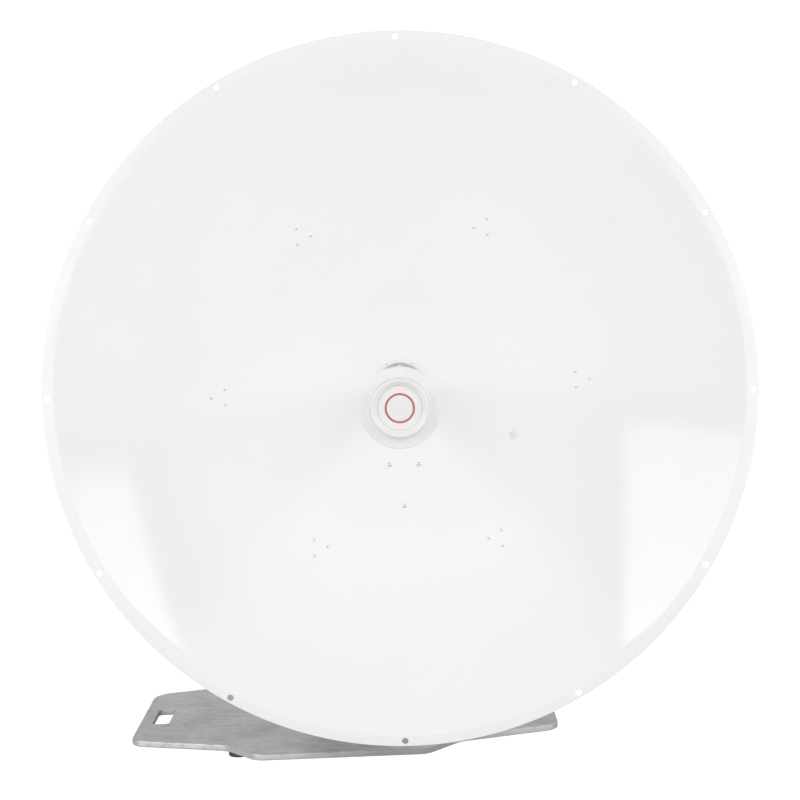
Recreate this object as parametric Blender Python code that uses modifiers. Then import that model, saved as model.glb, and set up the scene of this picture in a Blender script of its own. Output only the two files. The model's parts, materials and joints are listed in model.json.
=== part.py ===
"""Microwave dish antenna with a 1.2 m reflector, on a short mast and a steel base plate.

Metres, +Z up. The dish looks along -Y, with +X to its viewer's right. The origin is on the
floor, under the middle of the object's box. X = 0 is the dish's axis; the mast stands to the
viewer's left of it, so that the feed's rear flange stays clear of the mast.
"""

import math

import bmesh
import bpy
from mathutils import Matrix

# Reflector: a parabola with a flat rim flange
DISH_RADIUS = 0.600
BOWL_RADIUS = 0.580
FOCAL_LENGTH = 0.420
SKIN = 0.003
DISH_SEGMENTS = 72
CENTRE_HOLE_RADIUS = 0.030
BOWL_RINGS = 10
RIM_HOLE_COUNT = 12
RIM_HOLE_RADIUS = 0.0055
RIM_HOLE_CIRCLE = 0.591
RIM_HOLE_TURN = math.radians(-1.5)

# Where the three groups stand to one another
CAP_AHEAD_OF_RIM = 0.278
RIM_TO_MAST = 0.440
MAST_X = -0.131
FOOT_HEIGHT = 0.010
PLATE_THICKNESS = 0.012
AXIS_ABOVE_PLATE = 0.648

# Base plate: a wide middle and two swept wings, a little wider and rounder to the rear. A corner is
# x, y, radius, on the right half. The right feet stand further in than the left ones.
PLATE_HALF_DEPTH = 0.289
PLATE_FRONT = (
    (0.155, PLATE_HALF_DEPTH, 0.035),
    (0.2155, 0.219, 0.045),
    (0.400, 0.163, 0.034),
)
PLATE_REAR = (
    (0.155, PLATE_HALF_DEPTH, 0.035),
    (0.2155, 0.233, 0.045),
    (0.402, 0.178, 0.045),
)
HANDLE_SLOT_X = 0.360
HANDLE_SLOT_HALF_WIDTH = 0.016
HANDLE_SLOT_HALF_LENGTH = 0.053
HANDLE_SLOT_CORNER = 0.008
FOOT_RADIUS = 0.020
FOOT_CHAMFER = 0.002
FOOT_LEFT = -0.192
FOOT_RIGHT = 0.150
FOOT_Y = 0.208

# Mast and what stands around it
MAST_RADIUS = 0.0445
MAST_WALL = 0.004
MAST_TOP = 0.905
SOCKET_RADIUS = 0.054
SOCKET_TOP = 0.180
SOCKET_FLANGE_RADIUS = 0.110
SOCKET_FLANGE_THICKNESS = 0.012
GUSSET_THICKNESS = 0.008
GUSSET_REACH = 0.100
GUSSET_HEIGHT = 0.085
GUSSET_TOE = 0.012
GUSSET_SHOULDER = 0.014
CAP_WALL = 0.003
CAP_SKIRT = 0.022
COLLAR_RADIUS = 0.060
COLLAR_HEIGHT = 0.022

# Mast clamps: a front saddle and a rear jaw at two heights
CLAMP_HEIGHT = 0.040
CLAMP_Z = (-0.010, 0.160)
CLAMP_SPLIT = 0.003
CLAMP_DEPTH = 0.058
CLAMP_HUMP_HALF_WIDTH = 0.062
CLAMP_HUMP_SLOPE = 0.012
CLAMP_EAR_DEPTH = 0.026
CLAMP_HALF_WIDTH = 0.095
STUD_X = 0.0785
STUD_RADIUS = 0.006
STUD_END = 0.046

# Azimuth bracket and elevation yoke, measured from the elevation pivot
PIVOT_BELOW_AXIS = 0.075
PIVOT_AHEAD_OF_MAST = 0.122
BRACKET_HALF_WIDTH = 0.060
BRACKET_PLATE = 0.008
BRACKET_LOW = -0.030
BRACKET_HIGH = 0.180
BRACKET_NOSE = 0.020
YOKE_HALF_WIDTH = 0.073
YOKE_PLATE = 0.008
YOKE_PANEL_THICKNESS = 0.010
YOKE_PANEL_HALF_WIDTH = 0.085
YOKE_PANEL_HALF_HEIGHT = 0.175
YOKE_PANEL_CORNER = 0.020
YOKE_WINDOW = (0.024, 0.050, 0.010)
YOKE_CHEEK_LOW = -0.080
YOKE_CHEEK_HIGH = 0.200
YOKE_TOP_CORNER = (-0.036, 0.180, 0.030)
YOKE_HEEL_CORNER = (-0.030, -0.034, 0.028)
LOCK_RADIUS = 0.150
LOCK_SLOT_HALF_WIDTH = 0.009
NOSE_UP = math.radians(15.0)
NOSE_DOWN = math.radians(5.0)
SLOT_SPARE = math.radians(1.2)
BOLT_RADIUS = 0.008
WASHER_RADIUS = 0.014
WASHER = 0.0025
NUT = 0.010
THREAD_END = 0.003

# Back frame: a hub disc with six arms, and a pad on each arm
ARM_COUNT = 6
FRAME_TURN = math.radians(0.6)
FRAME_THICKNESS = 0.008
FRAME_FRONT = -0.022
FRAME_HUB_RADIUS = 0.120
ARM_HALF_WIDTH = 0.030
ARM_SLOT_HALF_WIDTH = 0.010
ARM_SLOT_INNER = 0.165
ARM_SLOT_OUTER = 0.265
PAD_CIRCLE = 0.3165
PAD_RADIUS = 0.028
PAD_THICKNESS = 0.010
POST_RADIUS = 0.012
POST_FOOT_RADIUS = 0.022
POST_FOOT = 0.006

# Hub and feed, along the dish's axis from its vertex
TUBE_RADIUS = 0.016
TUBE_BORE = 0.013
TUBE_FRONT = 0.410
TUBE_REAR = -0.052
HUB_DISC_RADIUS = 0.041
HUB_DISC_THICKNESS = 0.006
HUB_DISC_EDGE = 0.0015
HUB_SLEEVE_RADIUS = 0.055
HUB_NECK_RADIUS = 0.028
HUB_NECK_END = -0.050
HUB_RING_RADIUS = 0.040
HUB_RING_THICKNESS = 0.010
PORT_HALF_WIDTH = 0.030
PORT_THICKNESS = 0.008
PORT_CORNER = 0.005
PORT_REAR = -0.083
PORT_SLEEVE_RADIUS = 0.021
PORT_HOLE_RADIUS = 0.0023
PORT_HOLE_PLACE = 0.021
CONE_RADIUS = 0.056
CONE_NECK_RADIUS = 0.020
CONE_START = 0.370
CONE_RIM = 0.008
CONE_NECK_LENGTH = 0.012
SPLASH_RADIUS = 0.058
SPLASH_THICKNESS = 0.004
CAP_BRIM_RADIUS = 0.0626
CAP_RIDGE_RADIUS = 0.0468
CAP_CREST = (0.0412, 0.0440)
CAP_RECESS_RADIUS = 0.0345
CAP_BRIM_STEP = 0.012
CAP_RECESS_DEPTH = 0.006
CAP_DEPTH = 0.0186
CAP_FILLET = 0.004
CAP_EDGE = 0.002

# Lashing lug on the dish's back, below the feed
LUG_RADIUS = 0.172
LUG_PLATE = 0.005
LUG_PLATE_CORNERS = ((0, -0.062, 0.014), (0.042, 0.046, 0.012), (-0.042, 0.046, 0.012))
LUG_REACH = 0.055
LUG_FIN = 0.008
LUG_FIN_HALF_LENGTH = 0.024
LUG_FIN_CORNER = 0.014
LUG_HOLE_RADIUS = 0.008
LUG_HOLE_FROM_TIP = 0.020

# GAP is left between neighbours, CLEARANCE around a rod in its hole, and a welded root runs in by WELD
GAP = 0.0003
CLEARANCE = 0.0004
WELD = 0.002
ROUND = 36

PLATE_TOP = FOOT_HEIGHT + PLATE_THICKNESS
AXIS_HEIGHT = PLATE_TOP + AXIS_ABOVE_PLATE
PIVOT_HEIGHT = AXIS_HEIGHT - PIVOT_BELOW_AXIS
DEPTH = CAP_AHEAD_OF_RIM + RIM_TO_MAST + PLATE_HALF_DEPTH
RIM_Y = CAP_AHEAD_OF_RIM - DEPTH / 2
MAST_Y = RIM_Y + RIM_TO_MAST


def dish_depth(radius):
    """Height of the reflecting surface above the vertex at this distance from the axis."""
    return radius * radius / (4 * FOCAL_LENGTH)


def dish_slope(radius):
    return radius / (2 * FOCAL_LENGTH)


def dish_back(radius):
    """Height of the reflector's rear surface at this distance from the axis."""
    return dish_depth(radius) - SKIN * math.hypot(1, dish_slope(radius))


RIM_DEPTH = dish_depth(BOWL_RADIUS)
VERTEX_Y = RIM_Y + RIM_DEPTH
PIVOT_BEHIND_VERTEX = RIM_TO_MAST - RIM_DEPTH - PIVOT_AHEAD_OF_MAST
CAP_FRONT = RIM_DEPTH + CAP_AHEAD_OF_RIM
BORE = MAST_RADIUS + CLEARANCE


def clear_scene():
    for obj in list(bpy.data.objects):
        bpy.data.objects.remove(obj, do_unlink=True)


def make_material(name, colour, roughness, metallic=0.0):
    material = bpy.data.materials.new(name)
    material.use_nodes = True
    shader = material.node_tree.nodes["Principled BSDF"]
    shader.inputs["Base Color"].default_value = (*colour, 1.0)
    shader.inputs["Roughness"].default_value = roughness
    shader.inputs["Metallic"].default_value = metallic
    return material


def object_from(name, bm):
    mesh = bpy.data.meshes.new(name)
    bm.to_mesh(mesh)
    bm.free()
    obj = bpy.data.objects.new(name, mesh)
    bpy.context.scene.collection.objects.link(obj)
    return obj


def moved(obj, location=(0, 0, 0), turn=(0, 0, 0)):
    """Shift and turn the shape itself, leaving the object's origin where it is."""
    for angle, axis in zip(turn, "XYZ"):
        obj.data.transform(Matrix.Rotation(angle, 4, axis))
    obj.data.transform(Matrix.Translation(location))
    return obj


def evaluated(obj):
    """Swap the object for a plain welded mesh of what its modifiers or its curve make."""
    bpy.context.view_layer.update()
    mesh = bpy.data.meshes.new_from_object(obj.evaluated_get(bpy.context.evaluated_depsgraph_get()))
    bm = bmesh.new()
    bm.from_mesh(mesh)
    bmesh.ops.remove_doubles(bm, verts=bm.verts, dist=0.000002)
    bmesh.ops.recalc_face_normals(bm, faces=bm.faces)
    name = obj.name
    bpy.data.objects.remove(obj, do_unlink=True)
    bpy.data.meshes.remove(mesh)
    return object_from(name, bm)


def cylinder(radius, low, high, segments=ROUND):
    bm = bmesh.new()
    bmesh.ops.create_cone(
        bm,
        cap_ends=True,
        segments=segments,
        radius1=radius,
        radius2=radius,
        depth=high - low,
        matrix=Matrix.Translation((0, 0, (low + high) / 2)),
    )
    return object_from("cylinder", bm)


def turned(profile, segments=ROUND, closed=True):
    """Turn a profile of (radius, height) points about Z. It runs down its outer side."""
    bm = bmesh.new()
    points = [bm.verts.new((radius, 0, height)) for radius, height in profile]
    for start, end in zip(points, points[1:]):
        bm.edges.new((start, end))
    if closed:
        bm.edges.new((points[-1], points[0]))
    obj = object_from("turned", bm)
    screw = obj.modifiers.new("turn", "SCREW")
    screw.steps = segments
    screw.render_steps = segments
    screw.use_merge_vertices = True
    screw.merge_threshold = 0.00001
    return evaluated(obj)


def flat_plate(outlines, thickness):
    """A plate centred on Z = 0. The first outline is its edge and the others are its holes."""
    curve = bpy.data.curves.new("plate", "CURVE")
    curve.dimensions = "2D"
    curve.fill_mode = "BOTH"
    curve.extrude = thickness / 2
    for outline in outlines:
        spline = curve.splines.new("POLY")
        spline.points.add(len(outline) - 1)
        spline.use_cyclic_u = True
        for point, (x, y) in zip(spline.points, outline):
            point.co = (x, y, 0, 1)
    obj = bpy.data.objects.new("plate", curve)
    bpy.context.scene.collection.objects.link(obj)
    return evaluated(obj)


def arc(centre, radius, start, end, steps):
    return [
        (
            centre[0] + radius * math.cos(start + (end - start) * step / steps),
            centre[1] + radius * math.sin(start + (end - start) * step / steps),
        )
        for step in range(steps + 1)
    ]


def circle(centre, radius, steps=24):
    return arc(centre, radius, 0, 2 * math.pi, steps)[:-1]


def rounded(corners, steps=5):
    """An outline of straight edges whose corners (x, y, radius) are rounded."""
    outline = []
    for index, (x, y, radius) in enumerate(corners):
        if radius == 0:
            outline.append((x, y))
            continue
        before = corners[index - 1]
        after = corners[(index + 1) % len(corners)]
        into = math.atan2(y - before[1], x - before[0])
        out = math.atan2(after[1] - y, after[0] - x)
        bend = (out - into + math.pi) % (2 * math.pi) - math.pi
        side = math.copysign(math.pi / 2, bend)
        reach = radius * math.tan(abs(bend) / 2)
        start = (x - reach * math.cos(into), y - reach * math.sin(into))
        centre = (start[0] + radius * math.cos(into + side), start[1] + radius * math.sin(into + side))
        outline += arc(centre, radius, into - side, into - side + bend, steps)
    return outline


def rounded_box(half_width, half_height, radius, centre=(0, 0)):
    signs = ((-1, -1), (1, -1), (1, 1), (-1, 1))
    return rounded([(centre[0] + i * half_width, centre[1] + j * half_height, radius) for i, j in signs])


def combined(shapes):
    """Put separate shapes into one object, without joining them."""
    bm = bmesh.new()
    for shape in shapes:
        bm.from_mesh(shape.data)
        bpy.data.objects.remove(shape, do_unlink=True)
    return object_from("combined", bm)


def boolean(obj, tools, operation):
    """Cut the tools out of the object, or join them to it."""
    for tool in tools:
        tool.hide_render = True
        tool.display_type = "WIRE"
        modifier = obj.modifiers.new(operation.lower(), "BOOLEAN")
        modifier.operation = operation
        modifier.solver = "EXACT"
        modifier.object = tool
    result = evaluated(obj)
    for tool in tools:
        bpy.data.objects.remove(tool, do_unlink=True)
    return result


def fastener(rod_radius, low, high, discs=(), hexes=()):
    """A bolt or stud along Z. Washers are (low, high) discs and heads and nuts (low, high) hexes."""
    tools = [cylinder(WASHER_RADIUS, start, end, 16) for start, end in discs]
    tools += [cylinder(1.75 * rod_radius, start, end, 6) for start, end in hexes]
    return boolean(cylinder(rod_radius, low, high, 16), tools, "UNION")


class Assembly:
    """The object's collection, its empties and the pieces placed under them."""

    def __init__(self, name):
        self.collection = bpy.data.collections.new(name)
        bpy.context.scene.collection.children.link(self.collection)

    def empty(self, name, location, parent=None, turn=(0, 0, 0)):
        obj = bpy.data.objects.new(name, None)
        self.collection.objects.link(obj)
        obj.location = location
        obj.rotation_euler = turn
        obj.parent = parent
        return obj

    def add(self, name, obj, material, parent, location=(0, 0, 0), turn=(0, 0, 0)):
        obj.name = name
        obj.data.name = name
        obj.data.materials.clear()
        obj.data.materials.append(material)
        obj.data.shade_smooth()
        obj.data.set_sharp_from_angle(angle=math.radians(30))
        obj.parent = parent
        obj.location = location
        obj.rotation_euler = turn
        for collection in list(obj.users_collection):
            collection.objects.unlink(obj)
        self.collection.objects.link(obj)
        return obj

    def add_copy(self, name, source, location=(0, 0, 0), turn=(0, 0, 0)):
        obj = source.copy()
        obj.name = name
        obj.location = location
        obj.rotation_euler = turn
        self.collection.objects.link(obj)
        return obj


def base_plate():
    front_right = [(x, -y, r) for x, y, r in PLATE_FRONT]
    rear_right = list(reversed(PLATE_REAR))
    rear_left = [(-x, y, r) for x, y, r in PLATE_REAR]
    front_left = [(-x, -y, r) for x, y, r in reversed(PLATE_FRONT)]
    edge = rounded(front_right + rear_right + rear_left + front_left, steps=6)
    slots = [
        rounded_box(HANDLE_SLOT_HALF_WIDTH, HANDLE_SLOT_HALF_LENGTH, HANDLE_SLOT_CORNER, (x, 0))
        for x in (-HANDLE_SLOT_X, HANDLE_SLOT_X)
    ]
    return moved(flat_plate([edge] + slots, PLATE_THICKNESS), (0, 0, PLATE_TOP - PLATE_THICKNESS / 2))


def foot():
    top = FOOT_HEIGHT - GAP
    tread = FOOT_RADIUS - FOOT_CHAMFER
    profile = [(0, top), (FOOT_RADIUS, top), (FOOT_RADIUS, FOOT_CHAMFER), (tread, 0), (0, 0)]
    return turned(profile, 32, closed=False)


def mast_socket():
    low = PLATE_TOP + GAP
    deck = low + SOCKET_FLANGE_THICKNESS
    body = turned([
        (BORE, SOCKET_TOP),
        (SOCKET_RADIUS, SOCKET_TOP),
        (SOCKET_RADIUS, deck),
        (SOCKET_FLANGE_RADIUS, deck),
        (SOCKET_FLANGE_RADIUS, low),
        (BORE, low),
    ])
    inner = SOCKET_RADIUS - WELD
    outline = [
        (inner, deck - WELD),
        (GUSSET_REACH, deck - WELD),
        (GUSSET_REACH, deck + GUSSET_TOE),
        (SOCKET_RADIUS + GUSSET_SHOULDER, deck + GUSSET_HEIGHT),
        (inner, deck + GUSSET_HEIGHT),
    ]
    gussets = []
    for quarter in range(4):
        gusset = moved(flat_plate([outline], GUSSET_THICKNESS), turn=(math.pi / 2, 0, 0))
        gussets.append(moved(gusset, turn=(0, 0, (quarter + 0.5) * math.pi / 2)))
    return boolean(body, [combined(gussets)], "UNION")


def tube(radius, bore, low, high, segments=ROUND):
    return turned([(bore, high), (radius, high), (radius, low), (bore, low)], segments)


def mast_cap():
    inner = MAST_RADIUS + GAP
    outer = inner + CAP_WALL
    under = MAST_TOP + GAP
    top = under + CAP_WALL
    profile = [
        (0, top),
        (outer - CAP_EDGE, top),
        (outer, top - CAP_EDGE),
        (outer, top - CAP_SKIRT),
        (inner, top - CAP_SKIRT),
        (inner, under),
        (0, under),
    ]
    return turned(profile, closed=False)


def clamp_half():
    """The front half of a mast clamp: a hump with a round notch between two drilled ears."""
    half_angle = math.asin(CLAMP_SPLIT / BORE)
    notch = arc((0, 0), BORE, -half_angle, -math.pi + half_angle, 24)
    edge = notch + [
        (-CLAMP_HALF_WIDTH, -CLAMP_SPLIT),
        (-CLAMP_HALF_WIDTH, -CLAMP_EAR_DEPTH),
        (-CLAMP_HUMP_HALF_WIDTH, -CLAMP_EAR_DEPTH),
        (-CLAMP_HUMP_HALF_WIDTH + CLAMP_HUMP_SLOPE, -CLAMP_DEPTH),
        (CLAMP_HUMP_HALF_WIDTH - CLAMP_HUMP_SLOPE, -CLAMP_DEPTH),
        (CLAMP_HUMP_HALF_WIDTH, -CLAMP_EAR_DEPTH),
        (CLAMP_HALF_WIDTH, -CLAMP_EAR_DEPTH),
        (CLAMP_HALF_WIDTH, -CLAMP_SPLIT),
    ]
    drills = [
        moved(cylinder(STUD_RADIUS + CLEARANCE, 0, CLAMP_DEPTH, 16), (x, 0, 0), (math.pi / 2, 0, 0))
        for x in (-STUD_X, STUD_X)
    ]
    return boolean(flat_plate([edge], CLAMP_HEIGHT), [combined(drills)], "DIFFERENCE")


def cross_drill(radius, reach, height):
    return moved(cylinder(radius, -reach, reach, 24), (0, 0, height), (0, math.pi / 2, 0))


def azimuth_bracket():
    """A channel that opens to the front: a web against the saddles and two cheeks."""
    back = PIVOT_AHEAD_OF_MAST - CLAMP_DEPTH - GAP
    front = -BRACKET_NOSE
    inner = BRACKET_HALF_WIDTH - BRACKET_PLATE
    web = back - BRACKET_PLATE
    outline = [
        (-BRACKET_HALF_WIDTH, back),
        (-BRACKET_HALF_WIDTH, front),
        (-inner, front),
        (-inner, web),
        (inner, web),
        (inner, front),
        (BRACKET_HALF_WIDTH, front),
        (BRACKET_HALF_WIDTH, back),
    ]
    height = BRACKET_HIGH - BRACKET_LOW
    channel = moved(flat_plate([outline], height), (0, 0, BRACKET_LOW + height / 2))
    reach = 2 * BRACKET_HALF_WIDTH
    drills = [cross_drill(BOLT_RADIUS + CLEARANCE, reach, z) for z in (0, LOCK_RADIUS)]
    return boolean(channel, [combined(drills)], "DIFFERENCE")


def lock_slot():
    """Outline of the curved slot about the pivot, in (forward, up)."""
    start = math.pi / 2 + NOSE_DOWN + SLOT_SPARE
    end = math.pi / 2 - NOSE_UP - SLOT_SPARE
    outer = arc((0, 0), LOCK_RADIUS + LOCK_SLOT_HALF_WIDTH, start, end, 10)
    inner = arc((0, 0), LOCK_RADIUS - LOCK_SLOT_HALF_WIDTH, end, start, 10)
    end_centre = (LOCK_RADIUS * math.cos(end), LOCK_RADIUS * math.sin(end))
    start_centre = (LOCK_RADIUS * math.cos(start), LOCK_RADIUS * math.sin(start))
    end_cap = arc(end_centre, LOCK_SLOT_HALF_WIDTH, end, end - math.pi, 8)[1:-1]
    start_cap = arc(start_centre, LOCK_SLOT_HALF_WIDTH, start - math.pi, start - 2 * math.pi, 8)[1:-1]
    return outer + end_cap + inner + start_cap


def elevation_yoke():
    """A panel on the back frame with two cheeks that reach back to the pivot."""
    panel_front = PIVOT_BEHIND_VERTEX + FRAME_FRONT - FRAME_THICKNESS - GAP
    panel_back = panel_front - YOKE_PANEL_THICKNESS
    edge = rounded_box(YOKE_PANEL_HALF_WIDTH, YOKE_PANEL_HALF_HEIGHT, YOKE_PANEL_CORNER)
    outlines = [edge, rounded_box(*YOKE_WINDOW)]
    panel = moved(flat_plate(outlines, YOKE_PANEL_THICKNESS), turn=(math.pi / 2, 0, 0))
    moved(panel, (0, -(panel_front + panel_back) / 2, PIVOT_BELOW_AXIS))
    root = panel_back + WELD
    side = rounded([
        (root, YOKE_CHEEK_LOW, 0),
        (root, YOKE_CHEEK_HIGH, 0),
        YOKE_TOP_CORNER,
        YOKE_HEEL_CORNER,
    ])
    outlines = [side, circle((0, 0), BOLT_RADIUS + CLEARANCE), lock_slot()]
    cheeks = []
    for sign in (-1, 1):
        cheek = moved(flat_plate(outlines, YOKE_PLATE), turn=(math.pi / 2, 0, -math.pi / 2))
        cheeks.append(moved(cheek, (sign * (YOKE_HALF_WIDTH - YOKE_PLATE / 2), 0, 0)))
    return boolean(panel, [combined(cheeks)], "UNION")


def cheek_washers():
    """Where washers lie on a cross bolt: between the two cheeks, and outside the yoke's."""
    between = (BRACKET_HALF_WIDTH + GAP, YOKE_HALF_WIDTH - YOKE_PLATE - GAP)
    outside = (YOKE_HALF_WIDTH + GAP, YOKE_HALF_WIDTH + GAP + WASHER)
    return between, outside


def pivot_bolt():
    """A long bolt across both pairs of cheeks, with washers between and outside them."""
    end = cheek_washers()[1][1]
    discs = []
    hexes = []
    for sign in (-1, 1):
        discs += [sorted((sign * low, sign * high)) for low, high in cheek_washers()]
        hexes.append(sorted((sign * (end - CLEARANCE), sign * (end + NUT))))
    reach = end + NUT + THREAD_END
    return moved(fastener(BOLT_RADIUS, -reach, reach, discs, hexes), turn=(0, math.pi / 2, 0))


def lock_bolt():
    """A short bolt through one bracket cheek and the curved slot of the yoke's cheek."""
    inner = BRACKET_HALF_WIDTH - BRACKET_PLATE - GAP
    end = cheek_washers()[1][1]
    hexes = [(inner - NUT, inner), (end - CLEARANCE, end + NUT)]
    bolt = fastener(BOLT_RADIUS, inner - NUT - THREAD_END, end + NUT / 2, cheek_washers(), hexes)
    return moved(bolt, turn=(0, math.pi / 2, 0))


def clamp_stud():
    near = CLAMP_EAR_DEPTH + GAP
    hexes = [(-near - NUT, -near), (near, near + NUT)]
    return moved(fastener(STUD_RADIUS, -STUD_END, STUD_END, (), hexes), turn=(math.pi / 2, 0, 0))


def back_frame():
    """Six arms with round tips on a hub disc, cut from one plate."""
    edge = []
    slots = []
    meet = math.asin(ARM_HALF_WIDTH / FRAME_HUB_RADIUS)
    step = 2 * math.pi / ARM_COUNT
    for index in range(ARM_COUNT):
        angle = index * step
        tip = (PAD_CIRCLE * math.cos(angle), PAD_CIRCLE * math.sin(angle))
        edge += arc(tip, ARM_HALF_WIDTH, angle - math.pi / 2, angle + math.pi / 2, 8)
        edge += arc((0, 0), FRAME_HUB_RADIUS, angle + meet, angle + step - meet, 4)
        near = (ARM_SLOT_INNER * math.cos(angle), ARM_SLOT_INNER * math.sin(angle))
        far = (ARM_SLOT_OUTER * math.cos(angle), ARM_SLOT_OUTER * math.sin(angle))
        slot = arc(far, ARM_SLOT_HALF_WIDTH, angle - math.pi / 2, angle + math.pi / 2, 6)
        slot += arc(near, ARM_SLOT_HALF_WIDTH, angle + math.pi / 2, angle + 3 * math.pi / 2, 6)
        slots.append(slot)
    hole = circle((0, 0), HUB_NECK_RADIUS + CLEARANCE, ROUND)
    plate = flat_plate([edge, hole] + slots, FRAME_THICKNESS)
    return moved(plate, (0, 0, FRAME_FRONT - FRAME_THICKNESS / 2))


def frame_pad():
    """A pad that lies against the dish's sloping back, on a post from the arm."""
    slope = math.atan(dish_slope(PAD_CIRCLE))
    back = dish_back(PAD_CIRCLE)
    pad = moved(cylinder(PAD_RADIUS, -PAD_THICKNESS - GAP, -GAP, 24), turn=(0, -slope, 0))
    moved(pad, (PAD_CIRCLE, 0, back))
    low = FRAME_FRONT + GAP
    post = moved(cylinder(POST_RADIUS, low, back - PAD_THICKNESS / 2, 16), (PAD_CIRCLE, 0, 0))
    foot_disc = moved(cylinder(POST_FOOT_RADIUS, low, low + POST_FOOT, 16), (PAD_CIRCLE, 0, 0))
    return boolean(pad, [post, foot_disc], "UNION")


def reflector():
    """The spun skin: a paraboloid with a flat flange, drilled for a radome."""
    front = []
    back = []
    for ring in range(BOWL_RINGS + 1):
        radius = BOWL_RADIUS + (CENTRE_HOLE_RADIUS - BOWL_RADIUS) * ring / BOWL_RINGS
        slope = dish_slope(radius)
        length = math.hypot(1, slope)
        front.append((radius, dish_depth(radius)))
        back.append((radius + SKIN * slope / length, dish_depth(radius) - SKIN / length))
    back[-1] = (CENTRE_HOLE_RADIUS, dish_back(CENTRE_HOLE_RADIUS))
    under = RIM_DEPTH - SKIN
    slope = dish_slope(BOWL_RADIUS)
    bend = (BOWL_RADIUS + SKIN * (math.hypot(1, slope) - 1) / slope, under)
    profile = list(reversed(front)) + [(DISH_RADIUS, RIM_DEPTH), (DISH_RADIUS, under), bend] + back[1:]
    drills = []
    for index in range(RIM_HOLE_COUNT):
        angle = RIM_HOLE_TURN + index * 2 * math.pi / RIM_HOLE_COUNT
        place = (RIM_HOLE_CIRCLE * math.cos(angle), RIM_HOLE_CIRCLE * math.sin(angle), RIM_DEPTH)
        drills.append(moved(cylinder(RIM_HOLE_RADIUS, -2 * SKIN, SKIN, 16), place))
    return boolean(turned(profile, DISH_SEGMENTS), [combined(drills)], "DIFFERENCE")


def hub_disc():
    low = dish_depth(HUB_DISC_RADIUS) + GAP
    high = low + HUB_DISC_THICKNESS
    inner = TUBE_RADIUS + CLEARANCE
    return turned([
        (inner, high),
        (HUB_DISC_RADIUS - HUB_DISC_EDGE, high),
        (HUB_DISC_RADIUS, high - HUB_DISC_EDGE),
        (HUB_DISC_RADIUS, low),
        (inner, low),
    ])


def hub_sleeve():
    high = dish_back(CENTRE_HOLE_RADIUS) - GAP
    low = FRAME_FRONT + GAP
    inner = TUBE_RADIUS + CLEARANCE
    return turned([
        (inner, high),
        (HUB_SLEEVE_RADIUS, high),
        (HUB_SLEEVE_RADIUS, low),
        (HUB_NECK_RADIUS, low),
        (HUB_NECK_RADIUS, HUB_NECK_END),
        (inner, HUB_NECK_END),
    ])


def hub_ring():
    high = FRAME_FRONT - FRAME_THICKNESS - GAP
    return tube(HUB_RING_RADIUS, HUB_NECK_RADIUS + CLEARANCE, high - HUB_RING_THICKNESS, high)


def waveguide_flange():
    """A square flange on a short sleeve that meets the feed tube's rear end."""
    edge = rounded_box(PORT_HALF_WIDTH, PORT_HALF_WIDTH, PORT_CORNER)
    holes = [circle((0, 0), TUBE_BORE, ROUND)]
    for x in (-PORT_HOLE_PLACE, PORT_HOLE_PLACE):
        holes += [circle((x, y), PORT_HOLE_RADIUS, 12) for y in (-PORT_HOLE_PLACE, PORT_HOLE_PLACE)]
    middle = PORT_REAR + PORT_THICKNESS / 2
    flange = moved(flat_plate([edge] + holes, PORT_THICKNESS), (0, 0, middle))
    return boolean(flange, [tube(PORT_SLEEVE_RADIUS, TUBE_BORE, middle, TUBE_REAR - GAP)], "UNION")


def feed_fronts():
    """Heights where the cone, the splash plate and the cap end, from rear to front."""
    cap_rear = CAP_FRONT - CAP_DEPTH
    splash_front = cap_rear - GAP
    splash_rear = splash_front - SPLASH_THICKNESS
    return splash_rear - GAP, splash_rear, splash_front, cap_rear


def dielectric_cone():
    front = feed_fronts()[0]
    inner = TUBE_RADIUS + GAP
    end = TUBE_FRONT + GAP
    return turned([
        (0, front),
        (CONE_RADIUS, front),
        (CONE_RADIUS, front - CONE_RIM),
        (CONE_NECK_RADIUS, CONE_START + CONE_NECK_LENGTH),
        (CONE_NECK_RADIUS, CONE_START),
        (inner, CONE_START),
        (inner, end),
        (0, end),
    ], closed=False)


def splash_plate():
    _, low, high, _ = feed_fronts()
    return turned([(0, high), (SPLASH_RADIUS, high), (SPLASH_RADIUS, low), (0, low)], closed=False)


def feed_cap():
    """A stepped lid: a brim, a ridge, and a flat recess whose wall slopes."""
    brim = CAP_FRONT - CAP_BRIM_STEP
    floor = CAP_FRONT - CAP_RECESS_DEPTH
    rear = CAP_FRONT - CAP_DEPTH
    profile = rounded([
        (0, floor, 0),
        (CAP_RECESS_RADIUS, floor, CAP_EDGE),
        (CAP_CREST[0], CAP_FRONT, CAP_EDGE),
        (CAP_CREST[1], CAP_FRONT, CAP_EDGE),
        (CAP_RIDGE_RADIUS, brim, CAP_FILLET),
        (CAP_BRIM_RADIUS, brim, CAP_EDGE),
        (CAP_BRIM_RADIUS, rear, 0),
        (0, rear, 0),
    ], steps=3)
    return turned(profile, closed=False)


def lashing_lug():
    """A plate against the dish's back with an eye that points to the rear."""
    plate = moved(flat_plate([rounded(LUG_PLATE_CORNERS)], LUG_PLATE), (0, 0, -GAP - LUG_PLATE / 2))
    root = WELD - GAP - LUG_PLATE
    half = LUG_FIN_HALF_LENGTH
    side = rounded([
        (-half, root, 0),
        (-half, -LUG_REACH, LUG_FIN_CORNER),
        (half, -LUG_REACH, LUG_FIN_CORNER),
        (half, root, 0),
    ])
    eye = circle((0, LUG_HOLE_FROM_TIP - LUG_REACH), LUG_HOLE_RADIUS, 20)
    fin = moved(flat_plate([side, eye], LUG_FIN), turn=(math.pi / 2, 0, math.pi / 2))
    lug = boolean(plate, [fin], "UNION")
    slope = math.atan(dish_slope(LUG_RADIUS))
    return moved(lug, (0, -LUG_RADIUS, dish_back(LUG_RADIUS)), (-slope, 0, 0))


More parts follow.
